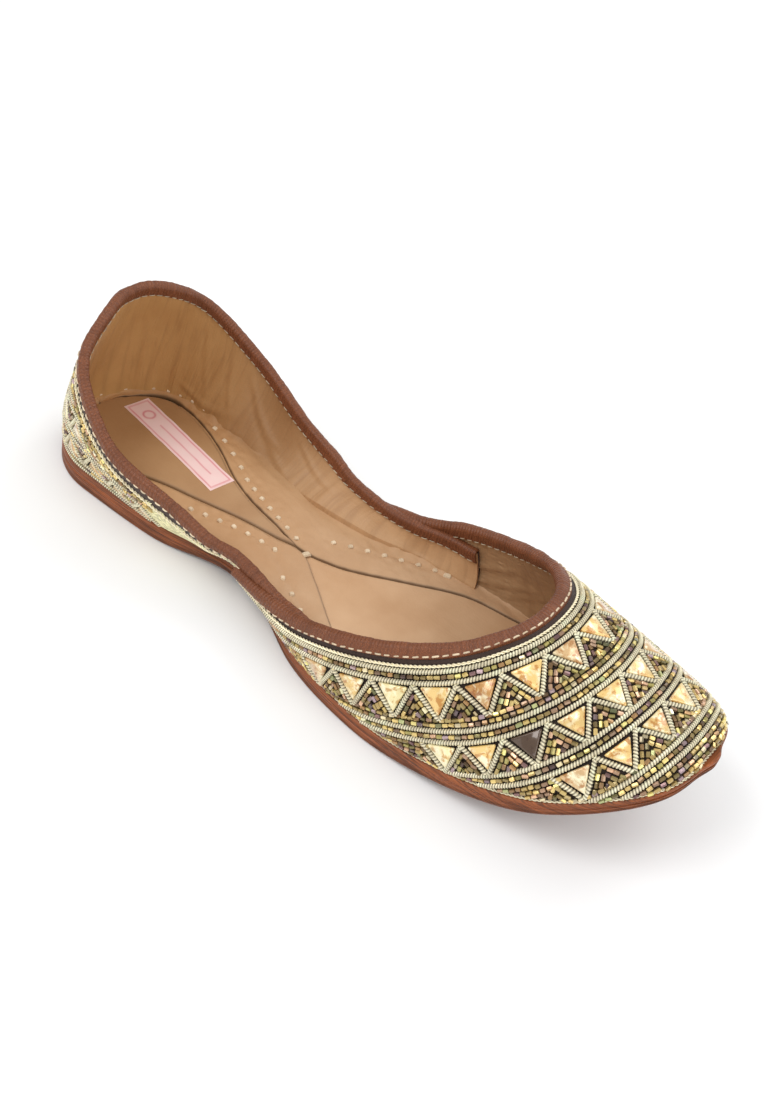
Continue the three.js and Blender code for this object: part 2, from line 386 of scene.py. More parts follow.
class Heap:
    """Closed shapes gathered into one mesh, with a tint and a place on the cloth for each point."""

    def __init__(self):
        self.points, self.faces, self.tints, self.places, self.count = [], [], [], [], 0

    def add(self, points, faces, tint=(1, 1, 1), place=None):
        """Adds points of any grid shape, with face arrays that number them."""
        points = np.asarray(points, float).reshape(-1, 3)
        self.points.append(points)
        self.faces += [np.asarray(f) + self.count for f in faces]
        self.tints.append(np.broadcast_to(np.asarray(tint, float), (len(points), 3)))
        blank = np.zeros((len(points), 2)) if place is None else np.reshape(place, (-1, 2))
        self.places.append(blank)
        self.count += len(points)

    def slab(self, top, bottom, tint=(1, 1, 1), place=None):
        """A sheet with thickness: two grids of points joined round their border.

        Gives the heap back.
        """
        rows, columns = top.shape[:2]
        half = rows * columns
        rim = border(rows, columns)
        nxt = np.roll(rim, -1)
        side = np.stack([nxt, rim, rim + half, nxt + half], -1)
        face = grid_faces(rows, columns)
        faces = [face, face[:, ::-1] + half, side]
        points = np.concatenate([top.reshape(-1, 3), bottom.reshape(-1, 3)])
        if place is not None:
            place = np.concatenate([np.reshape(place, (-1, 2))] * 2)
        if np.ndim(tint) > 1:
            tint = np.concatenate([np.reshape(tint, (-1, 3))] * 2)
        self.add(points, faces, tint, place)
        return self

    def tube(self, centre, across, up, forward, radius, sides=7, tilt=0.0, tint=(1, 1, 1)):
        """Rings of points round a path, closed at both ends; tilt leans each ring."""
        angle = np.arange(sides) * 2 * np.pi / sides
        c, s = np.cos(angle)[None, :, None], np.sin(angle)[None, :, None]
        r = np.broadcast_to(radius, len(centre))[:, None, None]
        rings = centre[:, None] + r * (c * across[:, None] + s * up[:, None])
        rings = rings + tilt * r * c * forward[:, None]
        if np.ndim(tint) > 1:
            tint = np.repeat(tint, sides, axis=0)
        self.add(rings, ring_faces(len(centre), sides), tint)

    def scatter(self, shape, faces, centre, axes, size, tint=(1, 1, 1)):
        """One small shape set down many times, each with its own axes, size and tint."""
        n, m = len(centre), len(shape)
        if n == 0:
            return
        size = np.broadcast_to(size, (n, 3))
        local = shape[None] * size[:, None]
        points = centre[:, None] + sum(local[..., k, None] * axes[k][:, None] for k in range(3))
        shift = (np.arange(n) * m)[:, None, None]
        moved = [(f[None] + shift).reshape(-1, f.shape[1]) for f in faces]
        tint = np.broadcast_to(np.asarray(tint, float), (n, 3))
        self.add(points, moved, np.repeat(tint, m, axis=0))


def build(name, heap, material, replaces=None, weld=False, smooth=35.0):
    """Makes the piece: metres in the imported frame, faces outward, smooth up to an angle.

    The whole is turned over if the volume it encloses comes out negative.
    """
    points = (np.concatenate(heap.points) - [ORIGIN, 0, 0]) * MM
    faces = heap.faces
    fans = [f[:, [0, k, k + 1]] for f in faces for k in range(1, f.shape[1] - 1)]
    corner = points[np.concatenate(fans)]
    volume = np.sum(corner[:, 0] * np.cross(corner[:, 1], corner[:, 2]))
    if volume < 0:
        faces = [f[:, ::-1] for f in faces]
    index = np.concatenate([f.ravel() for f in faces])
    sizes = np.concatenate([np.full(len(f), f.shape[1]) for f in faces])
    starts = np.r_[0, np.cumsum(sizes)[:-1]]
    mesh = bpy.data.meshes.new(name)
    mesh.vertices.add(len(points))
    mesh.vertices.foreach_set("co", points.astype(np.float32).ravel())
    mesh.loops.add(len(index))
    mesh.loops.foreach_set("vertex_index", index.astype(np.int32))
    mesh.polygons.add(len(sizes))
    mesh.polygons.foreach_set("loop_start", starts.astype(np.int32))
    mesh.update(calc_edges=True)
    layer = mesh.uv_layers.new(name="cloth")
    layer.data.foreach_set("uv", np.concatenate(heap.places)[index].astype(np.float32).ravel())
    tints = np.concatenate(heap.tints)
    colour = mesh.color_attributes.new(name="tint", type="FLOAT_COLOR", domain="POINT")
    colour.data.foreach_set("color", np.c_[tints, np.ones(len(tints))].astype(np.float32).ravel())
    if weld:
        work = bmesh.new()
        work.from_mesh(mesh)
        bmesh.ops.remove_doubles(work, verts=work.verts, dist=1e-6)
        bmesh.ops.dissolve_degenerate(work, edges=work.edges, dist=1e-7)
        bmesh.ops.recalc_face_normals(work, faces=work.faces)
        work.to_mesh(mesh)
        work.free()
    mesh.validate()
    mesh.shade_smooth()
    mesh.set_sharp_from_angle(angle=math.radians(smooth))
    mesh.materials.append(material)
    piece = bpy.data.objects.new(name, mesh)
    bpy.context.scene.collection.objects.link(piece)
    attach(piece, "root")
    if replaces:
        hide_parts(replaces)
    return piece


def ripple(u, v, seed, size, stretch=1.0, waves=9):
    """Smooth unevenness, mostly within −1 to 1: a sum of sine waves in seeded directions.

    Divided by 1.5·√waves; size is the wavelength, stretched along v.
    """
    draw = np.random.default_rng(seed)
    turn = draw.uniform(0, 2 * np.pi, waves)
    length = size * draw.uniform(0.6, 1.7, waves)
    shift = draw.uniform(0, 2 * np.pi, waves)
    u, v = np.asarray(u)[..., None], np.asarray(v)[..., None] / stretch
    phase = (u * np.cos(turn) + v * np.sin(turn)) * 2 * np.pi / length + shift
    return np.sin(phase).sum(-1) / math.sqrt(waves) / 1.5


def creases(u, v, lines):
    """Soft troughs with a low ridge beside each, as a height in mm.

    A line runs from (u0, v0) to (u1, v1), bowed sideways by bow; at a distance d from it the
    height is −depth·exp(−(d/width)²) plus 0.45·depth·exp(−((d − 1.7·width)/width)²), faded
    out towards both its ends.
    """
    height = np.zeros(np.broadcast(u, v).shape)
    for u0, v0, u1, v1, bow, width, depth in lines:
        du, dv = u1 - u0, v1 - v0
        length = math.hypot(du, dv)
        along = ((u - u0) * du + (v - v0) * dv) / length**2
        off = ((u - u0) * -dv + (v - v0) * du) / length
        off = off - bow * 4 * along * (1 - along)
        fade = ease(along, -0.08, 0.18) * (1 - ease(along, 0.8, 1.08))
        trough = -np.exp(-((off / width) ** 2))
        ridge = 0.45 * np.exp(-(((off - 1.7 * width) / width) ** 2))
        height = height + depth * fade * (trough + ridge)
    return height


# ---------------- sizes and colours a user changes


def length_prop(name, description, default):
    return bpy.props.FloatProperty(
        name=name, description=description, default=default, min=0, unit="LENGTH", precision=5
    )


def colour_prop(name, description, red, green, blue):
    """A colour given as 0–255 screen values, kept as linear light."""
    screen = np.array([red, green, blue]) / 255
    linear = np.where(screen <= 0.04045, screen / 12.92, ((screen + 0.055) / 1.055) ** 2.4)
    return bpy.props.FloatVectorProperty(
        name=name, description=description, default=[float(c) for c in linear],
        subtype="COLOR", size=3, min=0, max=1,
    )


class ShoeSizes(bpy.types.PropertyGroup):
    """Sizes of the trimmings."""

    binding_leather: length_prop("Binding leather", "Thickness of the rolled edge's leather", 0.0009)
    binding_outside: length_prop("Binding outside", "How far the binding comes down outside", 0.0031)
    binding_inside: length_prop("Binding inside", "How far the binding goes down inside", 0.0038)
    stitch: length_prop("Stitch", "Length of one stitch on the binding", 0.0023)
    stitch_pitch: length_prop("Stitch pitch", "Distance from stitch to stitch", 0.0030)
    stitch_thread: length_prop("Stitch thread", "Thickness of the sewing thread", 0.00055)
    bead: length_prop("Bead length", "Length of a bugle bead", 0.00192)
    bead_width: length_prop("Bead width", "Thickness of a bugle bead", 0.00134)
    bead_pitch: length_prop("Bead pitch", "Distance from bead to bead", 0.00212)
    cord: length_prop("Cord", "Thickness of the wound metal cord", 0.00168)
    cord_ridge: length_prop("Cord ridge", "Distance from turn to turn of the cord's wire", 0.00092)
    braid: length_prop("Braid", "Thickness of one strand of the fine braid", 0.00052)
    plate: length_prop("Plate", "Thickness of a shell plate", 0.0010)
    gold_stitch: length_prop("Gold stitch", "Length of a gold thread stitch at the waist", 0.0026)
    gold_thread: length_prop("Gold thread", "Thickness of the gold thread", 0.00062)
    sock: length_prop("Heel sock", "Thickness of the heel sock's leather", 0.0010)
    margin: length_prop("Margin", "Thickness of the turned-in lining", 0.0009)
    label_length: length_prop("Label length", "Length of the woven label", 0.051)
    label_width: length_prop("Label width", "Width of the woven label", 0.0105)


class ShoeColours(bpy.types.PropertyGroup):
    """Colours of the leathers, cloth, metal and glass."""

    lining: colour_prop("Lining", "Tan lining leather", 208, 170, 132)
    lining_deep: colour_prop("Lining, deep", "Tan leather where it has darkened", 190, 149, 110)
    binding: colour_prop("Binding", "Red-brown binding leather", 138, 82, 50)
    # binding_deep also colours the painted shade in the wrinkles of the binding and the wall lining.
    binding_deep: colour_prop("Binding, deep", "Binding leather in its grain", 96, 52, 30)
    sole: colour_prop("Sole", "Stacked sole leather", 160, 88, 46)
    sole_deep: colour_prop("Sole, deep", "Sole leather between its layers", 90, 48, 24)
    cloth: colour_prop("Cloth", "Dark ground of the beadwork", 50, 29, 17)
    strip: colour_prop("Cloth strip", "Bare purple-brown strip under the binding", 84, 58, 50)
    thread: colour_prop("Thread", "Cream sewing thread", 226, 204, 172)
    silver: colour_prop("Silver cord", "Wound silver cord", 254, 243, 208)
    gold: colour_prop("Gold thread", "Pale greenish gold thread", 244, 238, 192)
    label: colour_prop("Label", "Pale pink woven label", 240, 206, 202)
    label_mark: colour_prop("Label mark", "Plain woven border of the label", 214, 120, 128)


class ShoeStage(bpy.types.PropertyGroup):
    """The floor, the light and the camera."""

    floor: colour_prop("Floor", "Plain pale floor", 246, 246, 246)
    azimuth: bpy.props.FloatProperty(
        name="Azimuth", description="Camera's turn about the upright axis",
        default=math.radians(27.41), subtype="ANGLE",
    )
    elevation: bpy.props.FloatProperty(
        name="Elevation", description="Camera's angle above the floor",
        default=math.radians(42.27), subtype="ANGLE",
    )
    roll: bpy.props.FloatProperty(
        name="Roll", description="Camera's lean about its own axis",
        default=math.radians(16.08), subtype="ANGLE",
    )
    distance: length_prop("Distance", "From the camera to the shoe", 0.45)
    lens: bpy.props.FloatProperty(
        name="Lens", description="Focal length in mm on a 36 mm frame", default=45.09
    )
    room: bpy.props.FloatProperty(name="Room", description="Brightness of the room", default=0.72)
    key: bpy.props.FloatProperty(name="Key light", description="Power in watts", default=4.6)
    fill: bpy.props.FloatProperty(name="Fill light", description="Power in watts", default=2.6)


# ---------------- finishes

WEAVE_SHADOW = (0.012, 0.007, 0.004)
CLOTH_STAIN = (0.02, 0.012, 0.008)
TARNISH = (0.2, 0.14, 0.07)
GLASS_FLUSH = (0.3, 0.2, 0.1)
SHELL_CREAM = (0.95, 0.88, 0.6)
SHELL_AMBER = (0.62, 0.36, 0.12)
THREAD_SOIL = (0.42, 0.3, 0.18)
LABEL_WEAR = (0.86, 0.72, 0.66)


class Finish:
    """A material built node by node."""

    def __init__(self, name):
        self.material = bpy.data.materials.new(name)
        self.material.use_nodes = True
        self.tree = self.material.node_tree
        self.shader = self.tree.nodes["Principled BSDF"]

    def node(self, kind, inputs=None, **settings):
        """A node with its settings, its inputs given as values or as other nodes' outputs."""
        made = self.tree.nodes.new(kind)
        for key, value in settings.items():
            setattr(made, key, value)
        for key, value in (inputs or {}).items():
            self.put(made.inputs[key], value)
        return made

    def put(self, socket, value):
        """Links an output to a socket, or sets the socket's own value."""
        if isinstance(value, bpy.types.NodeSocket):
            self.tree.links.new(value, socket)
        elif socket.type == "RGBA" and len(value) == 3:
            socket.default_value = (*value, 1)
        else:
            socket.default_value = value

    def set(self, **inputs):
        """Sets the shader's own inputs; words are joined by underscores."""
        for key, value in inputs.items():
            self.put(self.shader.inputs[key.replace("_", " ")], value)

    def place(self, scale=(1, 1, 1), source="Object", turn=(0, 0, 0)):
        """Object or cloth coordinates, scaled and turned."""
        if source == "Object":
            coordinates = self.node("ShaderNodeTexCoord").outputs["Object"]
        else:
            coordinates = self.node("ShaderNodeUVMap", uv_map="cloth").outputs["UV"]
        inputs = {"Vector": coordinates, "Scale": scale, "Rotation": turn}
        return self.node("ShaderNodeMapping", inputs).outputs["Vector"]

    def noise(self, place, scale, detail=3.0, roughness=0.55, distortion=0.0):
        inputs = {
            "Vector": place, "Scale": scale, "Detail": detail,
            "Roughness": roughness, "Distortion": distortion,
        }
        return self.node("ShaderNodeTexNoise", inputs).outputs["Fac"]

    def cells(self, place, scale, feature="F1"):
        inputs = {"Vector": place, "Scale": scale}
        made = self.node("ShaderNodeTexVoronoi", inputs, feature=feature)
        return made.outputs["Distance"]

    def waves(self, place, scale, distortion=0.0, direction="X"):
        inputs = {"Vector": place, "Scale": scale, "Distortion": distortion}
        made = self.node("ShaderNodeTexWave", inputs, wave_type="BANDS", bands_direction=direction)
        return made.outputs["Fac"]

    def span(self, value, low, high, to_low=0.0, to_high=1.0):
        inputs = {
            "Value": value, "From Min": low, "From Max": high, "To Min": to_low, "To Max": to_high
        }
        return self.node("ShaderNodeMapRange", inputs).outputs["Result"]

    def maths(self, kind, a, b=0.0):
        made = self.node("ShaderNodeMath", {0: a, 1: b}, operation=kind)
        return made.outputs["Value"]

    def mix(self, amount, a, b, blend="MIX"):
        made = self.node("ShaderNodeMix", data_type="RGBA", blend_type=blend)
        self.put(made.inputs["Factor"], amount)
        self.put(made.inputs[6], a)
        self.put(made.inputs[7], b)
        return made.outputs[2]

    def over(self, body, colour, mask, low, high, most):
        """Another colour over the body, coming in to most as the mask goes from low to high."""
        return self.mix(self.span(mask, low, high, 0, most), body, colour)

    def tint(self):
        """The colour kept at each point of the mesh."""
        return self.node("ShaderNodeAttribute", attribute_name="tint").outputs["Color"]

    def tinted(self, body):
        """The body's colour multiplied by the mesh's own tint."""
        return self.mix(1.0, body, self.tint(), "MULTIPLY")

    def bump(self, height, distance, strength=1.0, under=None):
        inputs = {"Height": height, "Distance": distance, "Strength": strength}
        if under is not None:
            inputs["Normal"] = under
        return self.node("ShaderNodeBump", inputs).outputs["Normal"]


def tan_leather(colours, name, wrinkled=False):
    """Smooth goat lining: cloudy tan, fine pores, soft creasing and a dull polish.

    Where wrinkled, fine upright wrinkles a few mm apart run down the wall, with painted shade in
    their troughs.
    """
    f = Finish(name)
    place = f.place()
    cloud = f.noise(place, 32, 4)
    blotch = f.noise(f.place((1, 0.5, 1)), 115, 3, 0.6)
    pores = f.cells(place, 2600)
    grain = f.noise(place, 1500, 4, 0.65)
    drawn = f.noise(f.place((9, 60, 60)), 6, 3, 0.6, 0.4)
    worn = f.mix(f.span(cloud, 0.35, 0.68), colours.lining_deep, colours.lining)
    worn = f.over(worn, colours.lining_deep, blotch, 0.5, 0.8, 0.16)
    tinted = f.tinted(worn)
    normal = f.bump(pores, 0.00004, 0.5)
    normal = f.bump(grain, 0.00006, 0.5, normal)
    normal = f.bump(drawn, 0.0003, 0.35, normal)
    if wrinkled:
        upright = f.noise(f.place((430, 34, 1), "Cloth"), 1.0, 2, 0.5, 0.5)
        normal = f.bump(upright, 0.0007, 0.5, normal)
        # Painted shade: the wrinkles' troughs darken towards binding_deep.
        tinted = f.mix(f.span(upright, 0.3, 0.5, 0.16, 0), tinted, colours.binding_deep)
    roughness = f.span(grain, 0.3, 0.7, 0.44, 0.62)
    f.set(Base_Color=tinted, Roughness=roughness, Normal=normal)
    f.set(Specular_IOR_Level=0.35, Sheen_Weight=0.08, Sheen_Roughness=0.4)
    return f.material


def binding_finish(colours):
    """Grained red-brown skin, crossed by fine wrinkles with painted shade in their troughs."""
    f = Finish("binding leather")
    place = f.place()
    cells = f.cells(place, 2300, "DISTANCE_TO_EDGE")
    cloud = f.noise(place, 60, 4)
    fine = f.noise(place, 2100, 3)
    wrinkle = f.waves(f.place((1, 1, 1), "Cloth"), 260, 3.0)
    body = f.mix(f.span(cells, 0.0, 0.28), colours.binding_deep, colours.binding)
    body = f.over(body, colours.binding_deep, cloud, 0.5, 0.75, 0.45)
    # Painted shade: the wrinkles' troughs darken towards binding_deep.
    body = f.mix(f.span(wrinkle, 0.0, 0.3, 0.4, 0), body, colours.binding_deep)
    body = f.tinted(body)
    normal = f.bump(cells, 0.00006, 0.6)
    normal = f.bump(wrinkle, 0.00022, 0.7, normal)
    normal = f.bump(fine, 0.00004, 0.4, normal)
    f.set(Base_Color=body, Roughness=f.span(cloud, 0.3, 0.7, 0.38, 0.55), Normal=normal)
    f.set(Specular_IOR_Level=0.35)
    return f.material


def sole_finish(colours):
    """Stacked hide: thin layers on the edge, smoothed and waxed, darker low down."""
    f = Finish("sole leather")
    place = f.place()
    layers = f.noise(f.place((16, 16, 620)), 4.0, 4, 0.6, 0.25)
    streak = f.noise(f.place((30, 30, 300)), 2.2, 3, 0.6)
    cloud = f.noise(place, 45, 4)
    fine = f.noise(place, 1600, 3)
    body = f.mix(f.span(layers, 0.36, 0.62), colours.sole_deep, colours.sole)
    body = f.over(body, colours.sole_deep, streak, 0.52, 0.72, 0.6)
    body = f.over(body, colours.sole_deep, cloud, 0.55, 0.75, 0.35)
    body = f.tinted(body)
    normal = f.bump(layers, 0.0003, 0.55)
    normal = f.bump(fine, 0.00005, 0.5, normal)
    f.set(Base_Color=body, Roughness=f.span(streak, 0.3, 0.7, 0.34, 0.5), Normal=normal)
    f.set(Coat_Weight=0.05, Coat_Roughness=0.35, Specular_IOR_Level=0.35)
    return f.material


def cloth_finish():
    """Close dark weave under the beads; the bare strip by the binding is purple-brown."""
    f = Finish("beaded cloth")
    place = f.place()
    over = f.waves(f.place((1, 1, 1), "Cloth"), 1250)
    under = f.waves(f.place((1, 1, 1), "Cloth"), 1250, direction="Y")
    weave = f.maths("MULTIPLY", over, under)
    cloud = f.noise(place, 130, 3)
    body = f.mix(f.span(weave, 0.0, 0.45), WEAVE_SHADOW, f.tint())
    body = f.over(body, CLOTH_STAIN, cloud, 0.45, 0.7, 0.3)
    f.set(Base_Color=body, Roughness=0.62, Normal=f.bump(weave, 0.00012, 0.6))
    f.set(Specular_IOR_Level=0.35, Sheen_Weight=0.15, Sheen_Roughness=0.4)
    return f.material


def metal_finish(name, roughness=0.34):
    """Metal wire wound on thread, tarnished in patches; a cord's grooves carry painted shade in its
    tint.
    """
    f = Finish(name)
    place = f.place()
    tarnish = f.noise(place, 260, 3)
    fine = f.noise(place, 3200, 2)
    body = f.over(f.tint(), TARNISH, tarnish, 0.52, 0.76, 0.4)
    f.set(Base_Color=body, Metallic=0.25, Normal=f.bump(fine, 0.00008, 0.6))
    f.set(Roughness=f.span(tarnish, 0.3, 0.7, roughness - 0.06, roughness + 0.12))
    return f.material


def glass_finish():
    """Lustred glass: a metallic flush over each bead's own tint, with a clear gloss."""
    f = Finish("lustred glass")
    place = f.place()
    flush = f.noise(place, 520, 2)
    body = f.over(f.tint(), GLASS_FLUSH, flush, 0.42, 0.7, 0.3)
    f.set(Base_Color=body, Metallic=0.55, Roughness=f.span(flush, 0.3, 0.7, 0.16, 0.34))
    f.set(Coat_Weight=0.4, Coat_Roughness=0.06, Specular_IOR_Level=0.5)
    f.set(Normal=f.bump(f.noise(place, 1400, 2), 0.00008, 0.4))
    return f.material


def shell_finish():
    """Polished shell over gold: cream and amber clouds, lustrous under a hard gloss."""
    f = Finish("shell plate")
    place = f.place()
    cloud = f.noise(place, 190, 4, 0.6, 1.2)
    spots = f.noise(place, 430, 3, 0.6, 0.4)
    pale = f.node("ShaderNodeRGBToBW", {"Color": f.tint()}).outputs["Val"]
    clouded = f.maths("MULTIPLY", f.span(cloud, 0.46, 0.62), f.span(pale, 0.08, 0.2))
    body = f.mix(clouded, f.tint(), SHELL_CREAM)
    amber = f.mix(1.0, f.tint(), SHELL_AMBER, "MULTIPLY")
    body = f.over(body, amber, spots, 0.52, 0.62, 0.85)
    f.set(Base_Color=body, Metallic=0.2, Roughness=f.span(spots, 0.3, 0.7, 0.2, 0.34))
    f.set(Coat_Weight=0.8, Coat_Roughness=0.05)
    f.set(Normal=f.bump(f.noise(place, 300, 2), 0.0002, 0.25))
    return f.material


def thread_finish(colours):
    """Waxed cotton, two strands twisted."""
    f = Finish("sewing thread")
    twist = f.waves(f.place((1, 1, 1), turn=(0.4, 0.3, 0.8)), 900, 1.0)
    cloud = f.noise(f.place(), 240, 3)
    body = f.over(colours.thread, THREAD_SOIL, cloud, 0.4, 0.7, 0.5)
    body = f.tinted(body)
    f.set(Base_Color=body, Roughness=0.6, Normal=f.bump(twist, 0.00008, 0.6))
    f.set(Sheen_Weight=0.2, Sheen_Roughness=0.5)
    return f.material


def label_finish():
    """Satin ribbon: fine ribs along it, over the woven colours its mesh carries."""
    f = Finish("label cloth")
    ribs = f.waves(f.place((1, 1, 1), "Cloth"), 900, 0.2, "Y")
    cloud = f.noise(f.place(), 160, 3)
    body = f.over(f.tint(), LABEL_WEAR, cloud, 0.4, 0.7, 0.25)
    f.set(Base_Color=body, Roughness=0.5, Normal=f.bump(ribs, 0.00005, 0.5))
    f.set(Sheen_Weight=0.3, Sheen_Roughness=0.35)
    return f.material


FINISHES = {}


def finish(name):
    """One of the shoe's finishes, made when first asked for."""
    colours = bpy.context.scene.shoe_colours
    makers = {
        "lining": lambda: tan_leather(colours, "lining leather"),
        "wall lining": lambda: tan_leather(colours, "wall lining leather", True),
        "binding": lambda: binding_finish(colours),
        "sole": lambda: sole_finish(colours),
        "cloth": cloth_finish,
        "silver": lambda: metal_finish("silver cord"),
        "gold": lambda: metal_finish("gold thread", 0.4),
        "glass": glass_finish,
        "shell": shell_finish,
        "thread": lambda: thread_finish(colours),
        "label": label_finish,
    }
    if name not in FINISHES:
        FINISHES[name] = makers[name]()
    return FINISHES[name]


# ---------------- the sole


def toe_point(x, y):
    """How far the sole's toe is drawn out to a small point: 2·exp(−(y/5)²) at the tip."""
    return TOE_POINT * np.exp(-((y / TOE_POINT_HALF) ** 2)) * ease(x, 243, SOLE_LENGTH)


def spread(inset, rows, count=561):
    """A closed plan shape ruled from a spine to the outline moved in by inset.

    Points run round the outline; each row goes from the spine, which is the outline's own
    station kept clear of the round ends, out to the edge. Gives x and y grids.
    """
    t = np.linspace(-1, 1, count)
    share = 0.5 * (1 - np.cos(np.pi * np.abs(t)))
    share = 0.6 * np.abs(t) + 0.4 * share
    x, y, _, _ = edge_at(share, inset)
    y = np.maximum(y, 0) * np.sign(t)
    spine = np.clip(x, HEEL_ROUND, SOLE_LENGTH - 0.8 * TOE_ROUND)
    w = np.asarray(rows)[:, None]
    return spine * (1 - w) + x * w, y * w


def outsole_heap():
    """The sole: ruled faces above and below, joined by an edge of stacked layers.

    Down the edge, e from 0 to 1, the outline moves in by a 1 mm rounding at each corner and
    by the layers' grooves, 0.14·sin²(7π·e) + 0.05·sin(18π·e).
    """
    rounding = 1.0
    corner = np.linspace(0, 1, 7)[1:] * np.pi / 2
    fill = [(rounding, share, 0.0) for share in (0, 0.3, 0.6, 0.8, 0.92)]
    turn = rounding * (1 - np.sin(corner)), rounding * (1 - np.cos(corner))
    half = fill + [(inward, 1.0, drop) for inward, drop in zip(*turn)]
    edge = np.linspace(0, 1, 25)
    wave = 0.14 * np.sin(edge * 2 * np.pi * 3.5) ** 2 + 0.05 * np.sin(edge * 2 * np.pi * 9)
    profile = [("top", *row) for row in half]
    profile += [("side", 0.02 + wave[k], 1.0, edge[k]) for k in range(1, 24)]
    profile += [("bottom", *row) for row in half[::-1]]
    grids, tints = [], []
    for kind, inset, share, amount in profile:
        x, y = (line[0] for line in spread(inset, [share]))
        x = x + toe_point(x, y) * (share == 1)
        low, high = floor_height(x), sole_top(x)
        if kind == "top":
            z, dark = high - amount, 1.0
        elif kind == "bottom":
            z, dark = low + amount, 0.62
        else:
            z = high - rounding + (low - high + 2 * rounding) * amount
            dark = 1.0 - 0.42 * ease(amount, 0.55, 1.0)
        grids.append(np.stack([x, y, z], -1))
        tints.append(np.full((len(x), 3), dark))
    grid = np.array(grids)
    heap = Heap()
    heap.add(grid, [grid_faces(*grid.shape[:2])], np.array(tints).reshape(-1, 3))
    return heap


class SHOE_OT_outsole(bpy.types.Operator):
    """Makes the stacked leather sole with its rounded, layered edge"""

    bl_idname = "shoe.outsole"
    bl_label = "Outsole"

    def execute(self, context):
        build("outsole_stack", outsole_heap(), finish("sole"), "outsole", weld=True)
        return {"FINISHED"}


# ---------------- the footbed

FOOTBED = table(
    "station inset",
    [(0, 4.4), (70, 4.4), (88, 6.2), (150, 7.0), (172, 5.0), (251, 5.0)],
)
# Inner border of the turned-in lining: round the heel sock to its tip, then out along the V.
FAR_EDGE = table(
    "station y",
    [
        (5, 0), (5.6, 5), (8, 11.5), (12, 17.5), (18, 21.8), (27, 22.6), (38, 20.5), (49, 16.3),
        (62, 9.6), (73, 5.4), (87, 2.4), (104, 0.6), (112, 4.2), (135, 18.6), (152, 29),
        (168, 32.2), (195, 32.6), (222, 28),
    ],
)
NEAR_EDGE = table(
    "station y",
    [
        (5, 0), (5.6, 5), (8, 11.5), (12, 18), (18, 22.6), (27, 22), (38, 17.4), (48, 13.4),
        (58, 10.3), (68, 7.6), (81, 5), (92, 3.2), (104, 0.6), (112, 5), (132, 18.2), (150, 28.8),
        (168, 32.2), (195, 32.6), (222, 28),
    ],
)
BORDER_FROM, BORDER_TO = 5.0, 222
SOCK_FROM, SOCK_TO = 5.4, 102.6
SOCK_GAP = 0.75
SOCK_SHADE = 0.76
BED_HEIGHT = 1.15
# Painted shade deep in the heel: the leather's tint there, browner and darker.
HEEL_SHADE = (0.9, 0.79, 0.61)
# Painted shade on the wall lining: its tint at the heel, beside it and at the waist.
WALL_SHADE = np.array([(0.92, 0.82, 0.54), (0.56, 0.48, 0.36), (0.88, 0.84, 0.76)])
TURN_UP = 4.0


def bed_base(x, y):
    """Height of the lowest footbed leather: the sole's top, with faint hand-made unevenness."""
    worn = 0.18 * ripple(x, y, 3, 34, 0.7) + 0.05 * ripple(x, y, 4, 9)
    folds = creases(
        x, y,
        [
            (150, -16, 178, -4, 2, 1.6, 0.22), (158, 12, 186, 20, -2, 1.5, 0.2),
            (186, -14, 204, 3, 2, 1.8, 0.25), (190, 8, 210, 12, 1, 1.6, 0.2),
            (128, -6, 146, 2, 1, 1.3, 0.14), (112, 1, 118, -7, 0.5, 1.0, 0.16),
        ],
    )
    return sole_top(x) + GAP + BED_HEIGHT + worn + folds


def bed_outline(x):
    """Half-width of the space inside the upper's walls."""
    return np.maximum(half_width(x) - column(FOOTBED, "station", "inset", x), 0.2)


def heel_shade_tint(x):
    """Leather's tint by station: painted shade, browner and deeper towards the heel."""
    fresh = ease(x, 20, 125)[..., None]
    return np.array(HEEL_SHADE) * (1 - fresh) + fresh


def wall_shade_tint(x):
    """The wall lining's tint by station, as painted shade: olive at the heel, brownest beside it."""
    side = ease(x, 8, 55)[..., None]
    front = ease(x, 58, 100)[..., None]
    return WALL_SHADE[0] * (1 - side) + WALL_SHADE[1] * (side - front) + WALL_SHADE[2] * front


def plan_sheet(x, y, top, low, tint):
    """A sheet lying over a grid of x and y, its place on the cloth read in plan."""
    place = np.stack([x, y], -1) * MM
    return Heap().slab(np.stack([x, y, top], -1), np.stack([x, y, low], -1), tint, place)


def footbed_heap():
    """The insole leather: a thin sheet ruled from its spine out to its edge."""
    count, wide = 181, 57
    t = np.linspace(0, 1, count)
    x = 4.6 + (SOLE_LENGTH - 10.2) * 0.5 * (1 - np.cos(np.pi * t))
    across = np.sin(np.linspace(-np.pi / 2, np.pi / 2, wide))[None]
    xs = np.repeat(x[:, None], wide, 1)
    half = bed_outline(x)[:, None]
    rounded = np.clip(np.minimum((x - 4.2) / 26, (SOLE_LENGTH - 5.2 - x) / 34), 0, 1)[:, None]
    half = half * np.sqrt(1 - (1 - rounded) ** 2.3)
    y = across * half
    top = bed_base(xs, y) - 0.4 * ease(np.abs(across), 0.97, 1.0)
    bottom = sole_top(xs) + GAP * 0.6
    # Painted shade: the footbed darkens by a fifth towards the toe, under the vamp.
    shade = (1 - 0.2 * ease(xs, 200, 238))[..., None]
    return plan_sheet(xs, y, top, bottom, shade * heel_shade_tint(xs))


